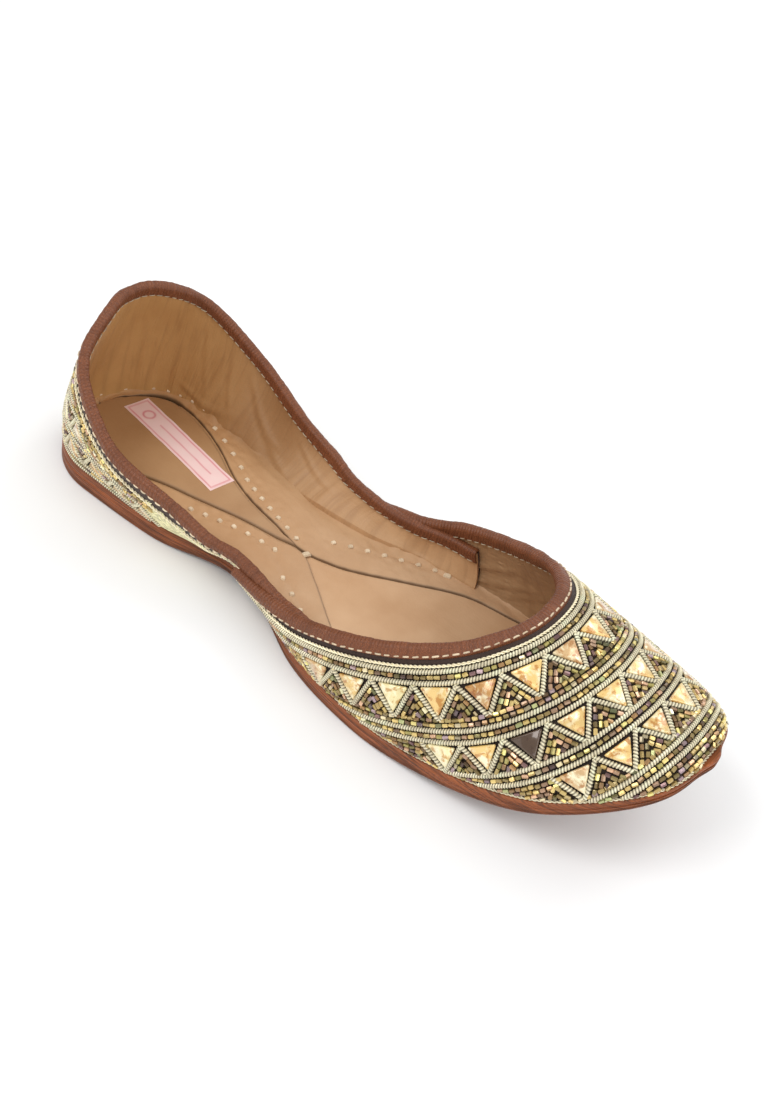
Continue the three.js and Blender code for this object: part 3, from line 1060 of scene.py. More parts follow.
def margin_border(side, count=221):
    """The two borders of one side's turned-in lining, paired station by station."""
    rows = FAR_EDGE if side > 0 else NEAR_EDGE
    share = np.linspace(0, 1, count) ** 1.25 * 0.79
    in_quarter = HEEL.at(side * np.minimum(share / WING_TIP, 1), TURN_UP, 0.5 - QUARTER_WALL)[0]
    on_vamp = np.clip((1 - share) / (1 - VAMP_BACK), 0, 1) * side
    in_vamp = VAMP_FOOT.at(on_vamp, TURN_UP, 0.5 - VAMP_WALL)[0]
    swap = ease(share, 0.5, 0.585)[:, None]
    wall = in_quarter * (1 - swap) + in_vamp * swap
    outer_x, outer_y, outer_z = wall[:, 0], np.abs(wall[:, 1]), wall[:, 2]
    inner_x = np.maximum(outer_x, BORDER_FROM)
    stretch = (inner_x - inner_x[0]) * (BORDER_TO - BORDER_FROM) / (inner_x[-1] - inner_x[0])
    inner_x = BORDER_FROM + stretch
    inner_y = column(rows, "station", "y", inner_x)
    inner_y = np.minimum(inner_y, outer_y - 1.0 * ease(share, 0.0, 0.02))
    return inner_x, inner_y, outer_x, outer_y, outer_z


# Stitches in mm: length, width and height.
LASTING_STITCH = (2.2, 1.6, 1.0)
HEEL_STITCH = (2.0, 1.3, 1.0)
HEEL_STEPS = np.arange(2.6, 46, 5.2)
STITCH_BARS = (
    # x, y, turn, length
    (104.0, 0.0, 1.15, 3.9), (141.5, 31.6, 0.4, 3.6),
)
STITCH_LINES = {
    # side: lists of (first x, y, last x, y, bow, count) in the footbed's plan
    -1: [(64, -14, 96, -7, 0.8, 7), (106, -14, 131, -26, 0.6, 5)],
    1: [
        (18, 27.5, 60, 15.3, 2.0, 7), (66, 12, 97, 2.8, -0.6, 7),
        (106, 12.2, 137, 30.4, 1.2, 7),
    ],
}


def stitch_spots(side):
    """Places of one side's lasting stitches: along shallow bows, a few mm apart."""
    spots = []
    for x0, y0, x1, y1, bow, count in STITCH_LINES[side]:
        t = np.linspace(0, 1, count)
        length = math.hypot(x1 - x0, y1 - y0)
        off = bow * 4 * t * (1 - t)
        x = x0 + (x1 - x0) * t - off * (y1 - y0) / length
        y = y0 + (y1 - y0) * t + off * (x1 - x0) / length
        spots.append(np.stack([x, y], -1))
    return np.concatenate(spots)


def margin_height(x, y, side, thickness):
    """Height of the turned-in lining: puckered round each stitch, creased between them.

    At a distance d from a stitch the leather sinks by 0.45·exp(−(d/1.8)²), and a pucker
    0.16·sin(5·angle)·exp(−((d − 3)/2.2)²) stands round it.
    """
    height = bed_base(x, y) + thickness
    for sx, sy in stitch_spots(side):
        away = np.hypot(x - sx, y - sy)
        turn = np.arctan2(y - sy, x - sx)
        pucker = 0.16 * np.sin(5 * turn + sx) * np.exp(-(((away - 3) / 2.2) ** 2))
        height = height - 0.45 * np.exp(-((away / 1.8) ** 2)) + pucker
    return height + 0.12 * ripple(x, y, 11 + side, 7, 0.5)


def margin_surface(side, thickness):
    """One side's turned-in lining as grids.

    Gives x, y, the upper and lower heights and the tint. Across, w goes 0 to 1; the first
    0.7 mm rolls down to the bed, and over the last 5 mm it rises as s^2.4 until it meets the
    wall's inner face. Its inner border is painted dark, as the shadow of its step down, and its
    tint is painted shade, passing into the wall lining's towards the wall.
    """
    inner_x, inner_y, outer_x, outer_y, outer_z = margin_border(side)
    w = np.r_[0, 0.012, 0.03, 0.06, np.linspace(0.1, 0.8, 26), np.linspace(0.82, 1, 14)][None]
    x = inner_x[:, None] * (1 - w) + outer_x[:, None] * w
    y = (inner_y[:, None] * (1 - w) + outer_y[:, None] * w) * side
    width = np.hypot(outer_x - inner_x, outer_y - inner_y)[:, None]
    z = margin_height(x, y, side, thickness)
    from_edge = w * width
    fall = np.clip(1 - (1 - np.clip(from_edge / 0.7, 0, 1)) ** 2, 0, 1)
    z = z - thickness * 0.95 * (1 - np.sqrt(fall))
    turn_up = np.clip(1 - (1 - w) * width / 5.0, 0, 1) ** 2.4
    z = z + (outer_z[:, None] - z[:, -1:]) * turn_up
    low = np.minimum(bed_base(x, y) - 0.35, z - 0.5) + 0.5 * turn_up
    # Painted shadow: the inner border darkens where the margin steps down; the tint is painted
    # shade.
    edge_shadow = 1 - 0.7 * np.exp(-((from_edge / 0.5) ** 2)) * np.ones_like(x)
    into_wall = ease(w, 0.55, 1.0)[..., None]
    tint = (0.9 * heel_shade_tint(x) * (1 - into_wall) + wall_shade_tint(x) * into_wall) * edge_shadow[..., None]
    return x, y, z, low, tint


def margin_heap(side, thickness):
    """One side's turned-in lining: from the sock's groove to where it turns up the wall."""
    return plan_sheet(*margin_surface(side, thickness))


def sock_heap(thickness):
    """The heel sock: a teardrop of leather, crowned a little, rolled down at its edge, with a
    painted shadow along it.
    """
    count, wide = 161, 49
    t = np.linspace(0, 1, count)
    x = SOCK_FROM + (SOCK_TO - SOCK_FROM) * (0.35 * t + 0.65 * t * t * (3 - 2 * t))
    edges = (column(rows, "station", "y", x) - SOCK_GAP for rows in (FAR_EDGE, NEAR_EDGE))
    far, near = (np.maximum(edge, 0.05)[:, None] for edge in edges)
    w = np.sin(np.linspace(-np.pi / 2, np.pi / 2, wide))[None]
    xs = np.repeat(x[:, None], wide, 1)
    reach = np.where(w > 0, far, near)
    y = w * reach
    from_edge = (1 - np.abs(w)) * reach
    roll = np.sqrt(np.clip(1 - (1 - np.clip(from_edge / 1.3, 0, 1)) ** 2, 0, 1))
    crown = 0.25 * (1 - w**2)
    z = bed_base(xs, y) + 0.05 + (thickness + crown) * roll
    low = bed_base(xs, y) - 0.3
    # Painted shadow along the sock's edge, and painted shade in its tint.
    rim = 1 - 0.45 * np.exp(-((from_edge / 0.5) ** 2))[..., None]
    return plan_sheet(xs, y, z, low, SOCK_SHADE * heel_shade_tint(xs) * rim)


def stitch_shape(sides=6):
    """A thread's short run: rings round a line of length 1 whose ends dip and close."""
    along = np.array([-0.5, -0.44, -0.28, 0.0, 0.28, 0.44, 0.5])
    radius = 0.5 * np.array([0.35, 0.8, 1.0, 1.0, 1.0, 0.8, 0.35])
    sink = -0.9 * (2 * along) ** 4
    angle = np.arange(sides) * 2 * np.pi / sides
    x = np.repeat(along[:, None], sides, 1)
    y = radius[:, None] * np.cos(angle)
    z = radius[:, None] * np.sin(angle) + sink[:, None]
    return np.stack([x, y, z], -1).reshape(-1, 3), ring_faces(len(along), sides)


def plan_axes(turn):
    """Axes of things that lie flat, turned in plan: ahead, across and up."""
    c, s, zero = np.cos(turn), np.sin(turn), np.zeros(len(turn))
    columns = ((c, s, zero), (-s, c, zero), (zero, zero, zero + 1))
    return [np.stack(axis, -1) for axis in columns]


def heel_row(side, sizes):
    """Places and axes of the stitches up the turned-in lining round the heel.

    They stand at even steps along the middle of the part that turns up.
    """
    top = np.stack(margin_surface(side, sizes.margin / MM)[:3], -1)
    line = top[:, -8]
    walked = walk_of(line)
    row = np.interp(HEEL_STEPS, walked, np.arange(len(line))).astype(int)
    ahead = unit(line[row + 1] - line[row - 1])
    out = unit(top[row, -7] - top[row, -9])
    normal = np.cross(ahead, out)
    normal = normal * np.sign(normal[:, 2:])
    return line[row] + 0.15 * normal, (ahead, np.cross(normal, ahead), normal)


def footbed_stitch_heap(sizes):
    """Short pale stitches in the turned-in lining, and the bar over the V's point."""
    shape, faces = stitch_shape(8)
    heap = Heap()
    for side in (-1, 1):
        heap.scatter(shape, faces, *heel_row(side, sizes), HEEL_STITCH)
        spots = stitch_spots(side)
        x, y = spots[:, 0], spots[:, 1]
        z = margin_height(x, y, side, sizes.margin / MM) + 0.34
        axes = plan_axes(np.arctan2(np.gradient(y), np.gradient(x)) + 0.35 * side)
        heap.scatter(shape, faces, np.stack([x, y, z], -1), axes, LASTING_STITCH)
    for x, y, turn, length in STITCH_BARS:
        z = sole_top(np.array(x)) + GAP + BED_HEIGHT + 0.95
        centre = np.array([[x, y, float(z)]])
        heap.scatter(shape, faces, centre, plan_axes(np.array([turn])), (length, 2.1, 1.4))
    return heap


RIBBON = 0.3
LABEL_PLACE = (37.8, 6.4)
LABEL_TURN = math.radians(-8.8)


def label_heap(sizes):
    """The woven label: a thin ribbon on the sock, following it, with a plain border."""
    length, width = sizes.label_length / MM, sizes.label_width / MM
    u = np.linspace(-0.5, 0.5, 121)[:, None]
    v = np.linspace(-0.5, 0.5, 41)[None]
    c, s = math.cos(LABEL_TURN), math.sin(LABEL_TURN)
    x = LABEL_PLACE[0] + u * length * c - v * width * s
    y = LABEL_PLACE[1] + u * length * s + v * width * c
    lie = bed_base(x, y) + sizes.sock / MM + 0.42
    lie = lie + 0.05 * np.sin(u * 40) * np.cos(v * 6)
    colours = bpy.context.scene.shoe_colours
    ground, mark = np.array(colours.label), np.array(colours.label_mark)
    uu, vv = np.broadcast_arrays(u * length, v * width)
    edge = np.minimum(length / 2 - np.abs(uu), width / 2 - np.abs(vv))
    line = np.exp(-(((edge - 1.1) / 0.28) ** 2))
    ring = np.abs(np.hypot(uu + 17.5, vv) - 2.1)
    line = np.maximum(line, np.exp(-((ring / 0.4) ** 2)))
    bars = np.exp(-((vv / 0.3) ** 2)) * (uu > -11) * (uu < 19)
    line = np.maximum(line, bars * 0.8)[..., None]
    tint = ground * (1 - line) + mark * line
    top = np.stack([x, y, lie], -1)
    return Heap().slab(top, top - [0, 0, RIBBON], tint, np.stack([uu, vv], -1) * MM)


class SHOE_OT_footbed(bpy.types.Operator):
    """Makes the footbed leather, the turned-in lining each side and the heel sock"""

    bl_idname = "shoe.footbed"
    bl_label = "Footbed"

    def execute(self, context):
        sizes = context.scene.shoe_sizes
        leather = finish("lining")
        build("footbed", footbed_heap(), leather, "insole")
        margin = sizes.margin / MM
        build("lasting_margin_left", margin_heap(1, margin), leather)
        build("lasting_margin_right", margin_heap(-1, margin), leather)
        build("heel_sock", sock_heap(sizes.sock / MM), leather)
        return {"FINISHED"}


class SHOE_OT_footbed_stitches(bpy.types.Operator):
    """Sews the turned-in lining down with short pale stitches"""

    bl_idname = "shoe.footbed_stitches"
    bl_label = "Footbed stitches"

    def execute(self, context):
        heap = footbed_stitch_heap(context.scene.shoe_sizes)
        build("footbed_stitches", heap, finish("thread"))
        return {"FINISHED"}


class SHOE_OT_label(bpy.types.Operator):
    """Lays the plain woven label on the heel sock"""

    bl_idname = "shoe.label"
    bl_label = "Label"

    def execute(self, context):
        build("sock_label", label_heap(context.scene.shoe_sizes), finish("label"))
        return {"FINISHED"}


# ---------------- the upper's panels

STRIP_TO = {"vamp": 4.6, "quarter": 7.0}
LINING_FOOT = 1.0


def panel_grid(skin, ribs, rows):
    """Around and drop over a whole panel, closer together at the collar and the foot."""
    around = np.linspace(-1, 1, ribs)[:, None]
    v = np.linspace(0, 1, rows)[None]
    v = 0.6 * v + 0.4 * 0.5 * (1 - np.cos(np.pi * v))
    return np.repeat(around, rows, 1), v * skin.span(around)


def above_sole(points):
    """Keeps a wall's points clear of the sole's upper face."""
    floor = sole_top(points[..., 0]) + GAP
    return np.concatenate([points[..., :2], np.maximum(points[..., 2], floor)[..., None]], -1)


def cloth_heap(skin, wall, strip):
    """A panel's outer half: the dark cloth on its backing, with the bare strip at the top."""
    colours = bpy.context.scene.shoe_colours
    around, drop = panel_grid(skin, 241, 57)
    outer = skin.at(around, drop)[0]
    inner = above_sole(skin.at(around, drop, -wall / 2)[0])
    bare = (1 - ease(drop, strip - 0.4, strip + 0.1))[..., None]
    tint = np.array(colours.strip) * bare + np.array(colours.cloth) * (1 - bare)
    top = skin.at(around, np.zeros_like(drop))[0]
    walked = walk_of(top[:, 0])
    place = np.stack([np.repeat(walked[:, None], drop.shape[1], 1), drop], -1) * MM
    return Heap().slab(outer, inner, tint, place)


def lining_heap(skin, wall, folds, seed, upright, shade):
    """A panel's inner half: soft leather, pulled into the folds listed and fine wrinkles.

    A fold's places are mm along the collar from the panel's middle and mm down from it. Over
    its last mm the leather turns straight down, into the turned-in lining.
    """
    around, drop = panel_grid(skin, 361, 55)
    top = skin.at(around[:, 0], 0.0)[0]
    walked = walk_of(top)
    walked = (walked - walked[len(walked) // 2])[:, None] + 0 * drop
    pull = creases(walked, drop, folds)
    fine = ripple(walked, drop, seed, 5.5, 6.0 if upright else 0.25, 14)
    loose = ripple(walked, drop, seed + 1, 17, 2.0)
    length = skin.span(around)
    hold = ease(drop, 0, 5) * (1 - ease(drop, length - 3, length))
    height = (pull + 0.17 * fine + 0.2 * loose) * hold
    outer = above_sole(skin.at(around, drop, -wall / 2 - 0.02)[0])
    inner = above_sole(skin.at(around, drop, -wall - 0.25 + height)[0])
    dive = ease(drop, length - LINING_FOOT, length)
    floor = sole_top(inner[..., 0]) + GAP
    inner[..., 2] = inner[..., 2] * (1 - dive) + floor * dive
    # Painted shade: the wall lining's tint by station, times shade, which darkens the whole vamp
    # lining.
    tint = shade * wall_shade_tint(inner[..., 0])
    return Heap().slab(inner, outer, tint, np.stack([walked, drop], -1) * MM)


QUARTER_FOLDS = [
    # along, down, along, down, bow, width, depth
    (-52, 8, -44, 26, 1.5, 1.6, 0.3), (-34, 6, -30, 34, 1.2, 1.3, 0.22),
    (-14, 10, -12, 44, 1.5, 1.2, 0.2), (-2, 8, 1, 40, 1, 1.1, 0.18),
    (9, 12, 13, 48, -1.5, 1.2, 0.24), (22, 8, 27, 40, -1.5, 1.4, 0.25),
    (36, 8, 46, 32, 2, 1.4, 0.28), (49, 6, 60, 26, 2, 1.5, 0.32),
    (60, 8, 88, 17, 3, 1.5, 0.35), (66, 14, 98, 20, 2, 1.4, 0.3),
    (92, 7, 116, 10, 1.5, 1.2, 0.3), (30, 38, 62, 24, 3, 1.3, 0.35),
    (34, 42, 70, 25, 3, 1.3, 0.3), (-60, 24, -34, 38, -3, 1.3, 0.3),
]
VAMP_FOLDS = [
    (52, 12, 84, 14, 1.5, 1.5, 0.4), (44, 18, 80, 19, 2, 1.5, 0.35),
    (34, 16, 60, 24, 1.5, 1.4, 0.3), (-80, 12, -52, 16, 1.5, 1.5, 0.35),
    (-60, 22, -34, 26, 2, 1.4, 0.3), (10, 18, 36, 26, 2, 1.8, 0.3), (-28, 24, 4, 20, 3, 1.8, 0.3),
]


class SHOE_OT_quarter(bpy.types.Operator):
    """Makes the quarter: beaded cloth outside, tan lining inside"""

    bl_idname = "shoe.quarter"
    bl_label = "Quarter"

    def execute(self, context):
        cloth = cloth_heap(QUARTER, QUARTER_WALL, STRIP_TO["quarter"])
        build("quarter_cloth", cloth, finish("cloth"), "quarter")
        lining = lining_heap(QUARTER, QUARTER_WALL, QUARTER_FOLDS, 21, True, 1.0)
        build("quarter_lining", lining, finish("wall lining"))
        return {"FINISHED"}


class SHOE_OT_vamp(bpy.types.Operator):
    """Makes the vamp: beaded cloth outside, tan lining inside"""

    bl_idname = "shoe.vamp"
    bl_label = "Vamp"

    def execute(self, context):
        cloth = cloth_heap(VAMP, VAMP_WALL, STRIP_TO["vamp"])
        build("vamp_cloth", cloth, finish("cloth"), "vamp")
        lining = lining_heap(VAMP, VAMP_WALL, VAMP_FOLDS, 31, False, 0.72)
        build("vamp_lining", lining, finish("wall lining"))
        return {"FINISHED"}


# ---------------- bindings and their stitches

PANEL_ENDS = 0.985
CUT_EDGE = 0.12
CUT_ROLL = 0.9
OVER_HEIGHT = 0.85


def binding_heap(skin, wall, thick, outside, inside, seed):
    """Leather folded over a panel's edge.

    Across: up the outside from its cut edge, over the top as a half ellipse wall/2 + thick
    wide and 0.85 of that high, and down the inside. Fine wrinkles cross it: thick grows and
    shrinks by about a tenth of a mm, in ripples much longer across than along.
    """
    around = np.linspace(-1, 1, 901)
    point, _, down, normal = skin.at(around, 0.0)
    walked = walk_of(point)
    out_leg = np.linspace(outside, 0, 9)[:-1]
    half_turn = np.linspace(0, np.pi, 9)
    in_leg = np.linspace(0, inside, 10)[1:]
    across = np.r_[-out_leg, half_turn * 0.9, np.pi * 0.9 + in_leg]
    wrinkle = ripple(walked[:, None], across[None], seed, 2.4, 7.0, 12)
    broad = ripple(walked[:, None], across[None], seed + 5, 14, 2.0)
    extra = 0.09 * wrinkle + 0.12 * broad

    def rolled(drops, part):
        """The leather's height on a leg: full, and rolled down to its cut edge over 0.9 mm."""
        from_cut = np.clip((drops.max() - drops[None]) / CUT_ROLL, 0, 1)
        full = thick + extra[:, part] - CUT_EDGE
        return CUT_EDGE + full * np.sqrt(1 - (1 - from_cut) ** 2)

    def leg(drops, sign, height):
        """One side's leather at its drops, lifted out from the wall's outer or inner face."""
        base = 0.0 if sign > 0 else wall
        a = np.repeat(around[:, None], len(drops), 1)
        d = np.repeat(drops[None], len(around), 0)
        return skin.at(a, d, sign * height - base)[0]

    n_out, n_turn = len(out_leg), len(half_turn)
    turn_extra = extra[:, n_out:n_out + n_turn]

    def over(height):
        """The leather over the top edge, height above the wall."""
        radius = (wall / 2 + height)[..., None]
        c, s = np.cos(half_turn)[None, :, None], np.sin(half_turn)[None, :, None]
        middle = point - normal * wall / 2
        return middle[:, None] + radius * (c * normal[:, None] - OVER_HEIGHT * s * down[:, None])

    seen = np.concatenate(
        [
            leg(out_leg, 1, rolled(out_leg, slice(0, n_out))),
            over(thick + turn_extra),
            leg(in_leg, -1, rolled(in_leg, slice(n_out + n_turn, None))),
        ],
        1,
    )
    hidden = np.concatenate(
        [leg(out_leg, 1, -0.1), over(np.full_like(turn_extra, -0.1)), leg(in_leg, -1, -0.1)], 1
    )
    place = np.stack([walked[:, None] + 0 * across, across[None] + 0 * walked[:, None]], -1) * MM
    # Painted light and shade: the tint is lighter where the wrinkles raise the leather, darker where
    # they sink.
    tint = np.repeat((1 + 0.1 * wrinkle)[..., None], 3, -1)
    return Heap().slab(seen, hidden, tint, place)


def line_of_stitches(skin, drop, lift, pitch, size, seed, wall=None):
    """A row of stitches along a panel at one drop, each a touch uneven.

    Where the wall's thickness is given, the row lies on its inner face.
    """
    draw = np.random.default_rng(seed)
    around = skin.evenly(drop, pitch, 0.0, PANEL_ENDS)
    depth = lift if wall is None else -wall - lift
    point, along, down, normal = skin.at(around, drop, depth)
    if wall is not None:
        normal, down = -normal, -down
    slant = draw.normal(0.06, 0.05, len(around))[:, None]
    x = unit(along * np.cos(slant) + down * np.sin(slant))
    y = np.cross(normal, x)
    scale = np.array(size) * (1 + draw.normal(0, 0.06, (len(around), 1)))
    tint = np.repeat(draw.uniform(0.8, 1.08, (len(around), 1)), 3, 1)
    return point, (x, y, normal), scale, tint


class SHOE_OT_bindings(bpy.types.Operator):
    """Folds the leather bindings over the collar and the throat"""

    bl_idname = "shoe.bindings"
    bl_label = "Bindings"

    def execute(self, context):
        s = context.scene.shoe_sizes
        thick, out, inn = s.binding_leather / MM, s.binding_outside / MM, s.binding_inside / MM
        leather = finish("binding")
        collar = binding_heap(QUARTER, QUARTER_WALL, thick, out, inn, 41)
        build("collar_binding", collar, leather)
        throat = binding_heap(VAMP, VAMP_WALL, thick, out, inn, 51)
        build("throat_binding", throat, leather)
        return {"FINISHED"}


class SHOE_OT_binding_stitches(bpy.types.Operator):
    """Sews the bindings down, outside and inside"""

    bl_idname = "shoe.binding_stitches"
    bl_label = "Binding stitches"

    def execute(self, context):
        s = context.scene.shoe_sizes
        shape, faces = stitch_shape()
        size = (s.stitch / MM, s.stitch_thread / MM, s.stitch_thread / MM)
        pitch = s.stitch_pitch / MM
        lift = s.binding_leather / MM + 0.12
        rows = {
            "collar_stitches": [(QUARTER, 2.3, None), (QUARTER, 3.0, QUARTER_WALL)],
            "throat_stitches": [(VAMP, 2.2, None), (VAMP, 3.2, VAMP_WALL)],
        }
        for number, (name, lines) in enumerate(rows.items()):
            heap = Heap()
            for k, (skin, drop, wall) in enumerate(lines):
                seed = 60 + 7 * number + k
                made = line_of_stitches(skin, drop, lift, pitch, size, seed, wall)
                point, axes, scale, tint = made
                thin = 1.0 if wall is None else 0.62
                heap.scatter(shape, faces, point, axes, scale * [1, thin, thin], tint * thin)
            build(name, heap, finish("thread"))
        return {"FINISHED"}


# ---------------- beadwork

BEAD_TINTS = np.array(
    [
        # bright gold, old gold, olive, rose bronze, dull lilac, green lustre, bronze, cream, plum
        (0.72, 0.54, 0.20), (0.50, 0.36, 0.13), (0.36, 0.31, 0.10), (0.52, 0.32, 0.20),
        (0.36, 0.26, 0.28), (0.38, 0.40, 0.18), (0.30, 0.17, 0.07), (0.80, 0.68, 0.42),
        (0.15, 0.08, 0.08),
    ]
)
BEAD_SHARES = np.array([0.23, 0.20, 0.09, 0.13, 0.05, 0.04, 0.15, 0.06, 0.05])


def bead_shape(sides=6):
    """A bugle bead: a short six-sided rod with eased ends, one long and one thick."""
    along = np.array([-0.5, -0.4, 0.4, 0.5])
    radius = 0.5 * np.array([0.72, 1.0, 1.0, 0.72])
    angle = (np.arange(sides) + 0.5) * 2 * np.pi / sides
    x = np.repeat(along[:, None], sides, 1)
    shape = np.stack([x, radius[:, None] * np.cos(angle), radius[:, None] * np.sin(angle)], -1)
    return shape.reshape(-1, 3), ring_faces(len(along), sides)


def add_beads(heap, skin, around, drop, slant, sizes, draw):
    """Sets a bead at each place, its length turned by slant from the panel's run."""
    shape, faces = bead_shape()
    length, width = sizes.bead / MM, sizes.bead_width / MM
    around, drop, slant = (np.ravel(v) for v in np.broadcast_arrays(around, drop, slant))
    n = len(around)
    if n == 0:
        return
    point, along, down, normal = skin.at(around, drop, width * 0.42 + draw.normal(0, 0.07, n))
    turn = (slant + draw.normal(0, 0.09, n))[:, None]
    x = along * np.cos(turn) + down * np.sin(turn)
    x = unit(x + normal * draw.normal(0, 0.12, (n, 1)))
    y = unit(np.cross(normal + 0.16 * draw.normal(0, 1, (n, 3)), x))
    z = np.cross(x, y)
    point = point + down * draw.normal(0, 0.07, (n, 1))
    scale = np.stack(
        [
            length * draw.uniform(0.84, 1.08, n),
            width * draw.uniform(0.9, 1.06, n),
            width * draw.uniform(0.9, 1.06, n),
        ],
        -1,
    )
    tint = BEAD_TINTS[draw.choice(len(BEAD_TINTS), n, p=BEAD_SHARES)]
    tint = tint * draw.uniform(0.4, 1.5, (n, 1)) ** 1.3
    heap.scatter(shape, faces, point, (x, y, z), scale, np.clip(tint, 0, 1))


def add_cord(heap, skin, around, drop, radius, ridge, tints, draw, sides=7):
    """A wound cord along a line on the panel.

    The line is cut into even steps of half a ridge; rings on the ridges have the full
    radius, those between them 0.73 of it and a tint of 0.16 as painted shade in the grooves,
    and every ring leans so the wire looks wound.
    """
    around, drop = np.asarray(around, float), np.broadcast_to(drop, np.shape(around))
    walked = walk_of(skin.at(around, drop)[0])
    steps = max(int(walked[-1] / (ridge / 2)), 3)
    even = np.linspace(0, walked[-1], steps)
    around, drop = np.interp(even, walked, around), np.interp(even, walked, drop)
    centre, _, _, normal = skin.at(around, drop, radius * 0.72)
    forward = unit(np.gradient(centre, axis=0))
    across = unit(np.cross(normal, forward))
    up = np.cross(forward, across)
    ringed = np.arange(steps) % 2
    wobble = 1 + 0.05 * ripple(even, 0 * even, int(draw.integers(1e6)), 9)
    radii = radius * (1 - 0.27 * ringed) * wobble
    # Painted shade: the rings between the ridges are darkened to 0.16.
    shade = (1 - 0.84 * ringed) * (1 + 0.12 * ripple(even, 0 * even, int(draw.integers(1e6)), 5))
    tint = np.clip(np.asarray(tints) * shade[:, None], 0, 1)
    heap.tube(centre, across, up, forward, radii, sides, 0.35, tint)


def band_cord(heap, skin, drop, ends, margin, *rest):
    """A cord along the whole panel at one drop, as far as the ribs reach."""
    around, _, inside = skin.walk(drop, ends, margin)
    if inside.sum() > 4:
        breaks = np.flatnonzero(np.diff(np.flatnonzero(inside)) > 1) + 1
        for run in np.split(around[inside], breaks):
            if len(run) > 8:
                add_cord(heap, skin, run, drop, *rest)


def add_braid(heap, skin, drop, ends, margin, thick, tints):
    """Two fine strands twisted round each other along the panel."""
    around, walked, inside = skin.walk(drop, ends, margin)
    around, walked = around[inside], walked[inside]
    steps = int((walked[-1] - walked[0]) / 0.42)
    even = np.linspace(walked[0], walked[-1], steps)
    around = np.interp(even, walked, around)
    centre, _, _, normal = skin.at(around, drop, thick * 0.8)
    forward = unit(np.gradient(centre, axis=0))
    across = np.cross(normal, forward)
    for phase in (0.0, np.pi):
        turn = (even * 2 * np.pi / 2.9 + phase)[:, None]
        path = centre + thick * 0.55 * (np.cos(turn) * across + np.sin(turn) * normal)
        ahead = unit(np.gradient(path, axis=0))
        side = unit(np.cross(normal, ahead))
        heap.tube(path, side, np.cross(ahead, side), ahead, thick / 2, 5, 0.0, tints)


def plate_shape(width, height, thick, corner=0.38, points=4):
    """A three-cornered plate with rounded corners and an eased upper edge.

    Its straight side lies at y = −height/2 and its point at y = +height/2.
    """
    corners = np.array([(-width / 2, -height / 2), (width / 2, -height / 2), (0, height / 2)])

    def outline(inset):
        pts = []
        for k in range(3):
            here, before, after = corners[k], corners[k - 1], corners[(k + 1) % 3]
            a, b = unit(before - here), unit(after - here)
            half = math.acos(float(np.clip(a @ b, -1, 1))) / 2
            middle = here + unit(a + b) * (corner + inset) / math.sin(half)
            start = math.atan2(*(unit(-(b - a * (a @ b))))[::-1])
            end = math.atan2(*(unit(-(a - b * (a @ b))))[::-1])
            sweep = (end - start + np.pi) % (2 * np.pi) - np.pi
            turn = start + sweep * np.linspace(0, 1, points)
            pts.append(middle + corner * np.stack([np.cos(turn), np.sin(turn)], -1))
        return np.concatenate(pts)

    ease_in = 0.32
    rings = [(outline(0.0), 0.0), (outline(0.0), thick * 0.62), (outline(ease_in), thick)]
    shape = np.concatenate([np.c_[o, np.full(len(o), z)] for o, z in rings])
    return shape, ring_faces(len(rings), 3 * points)


PLATE_TINTS = np.array(
    [(0.82, 0.56, 0.20), (0.70, 0.46, 0.22), (0.92, 0.80, 0.42), (0.52, 0.26, 0.07)]
)
PLATE_SHARES = (0.4, 0.25, 0.2, 0.15)
DARK_PLATE = (0.07, 0.035, 0.015)


CORD_BEFORE = 0.4
CORD_PAST = 1.2
CORD_ASIDE = 0.35
POINT_ASIDE = 0.3
PLATE_ROOM = 0.6
CHEVRON_ROW = 1.5
FILLER_ROW = 1.55


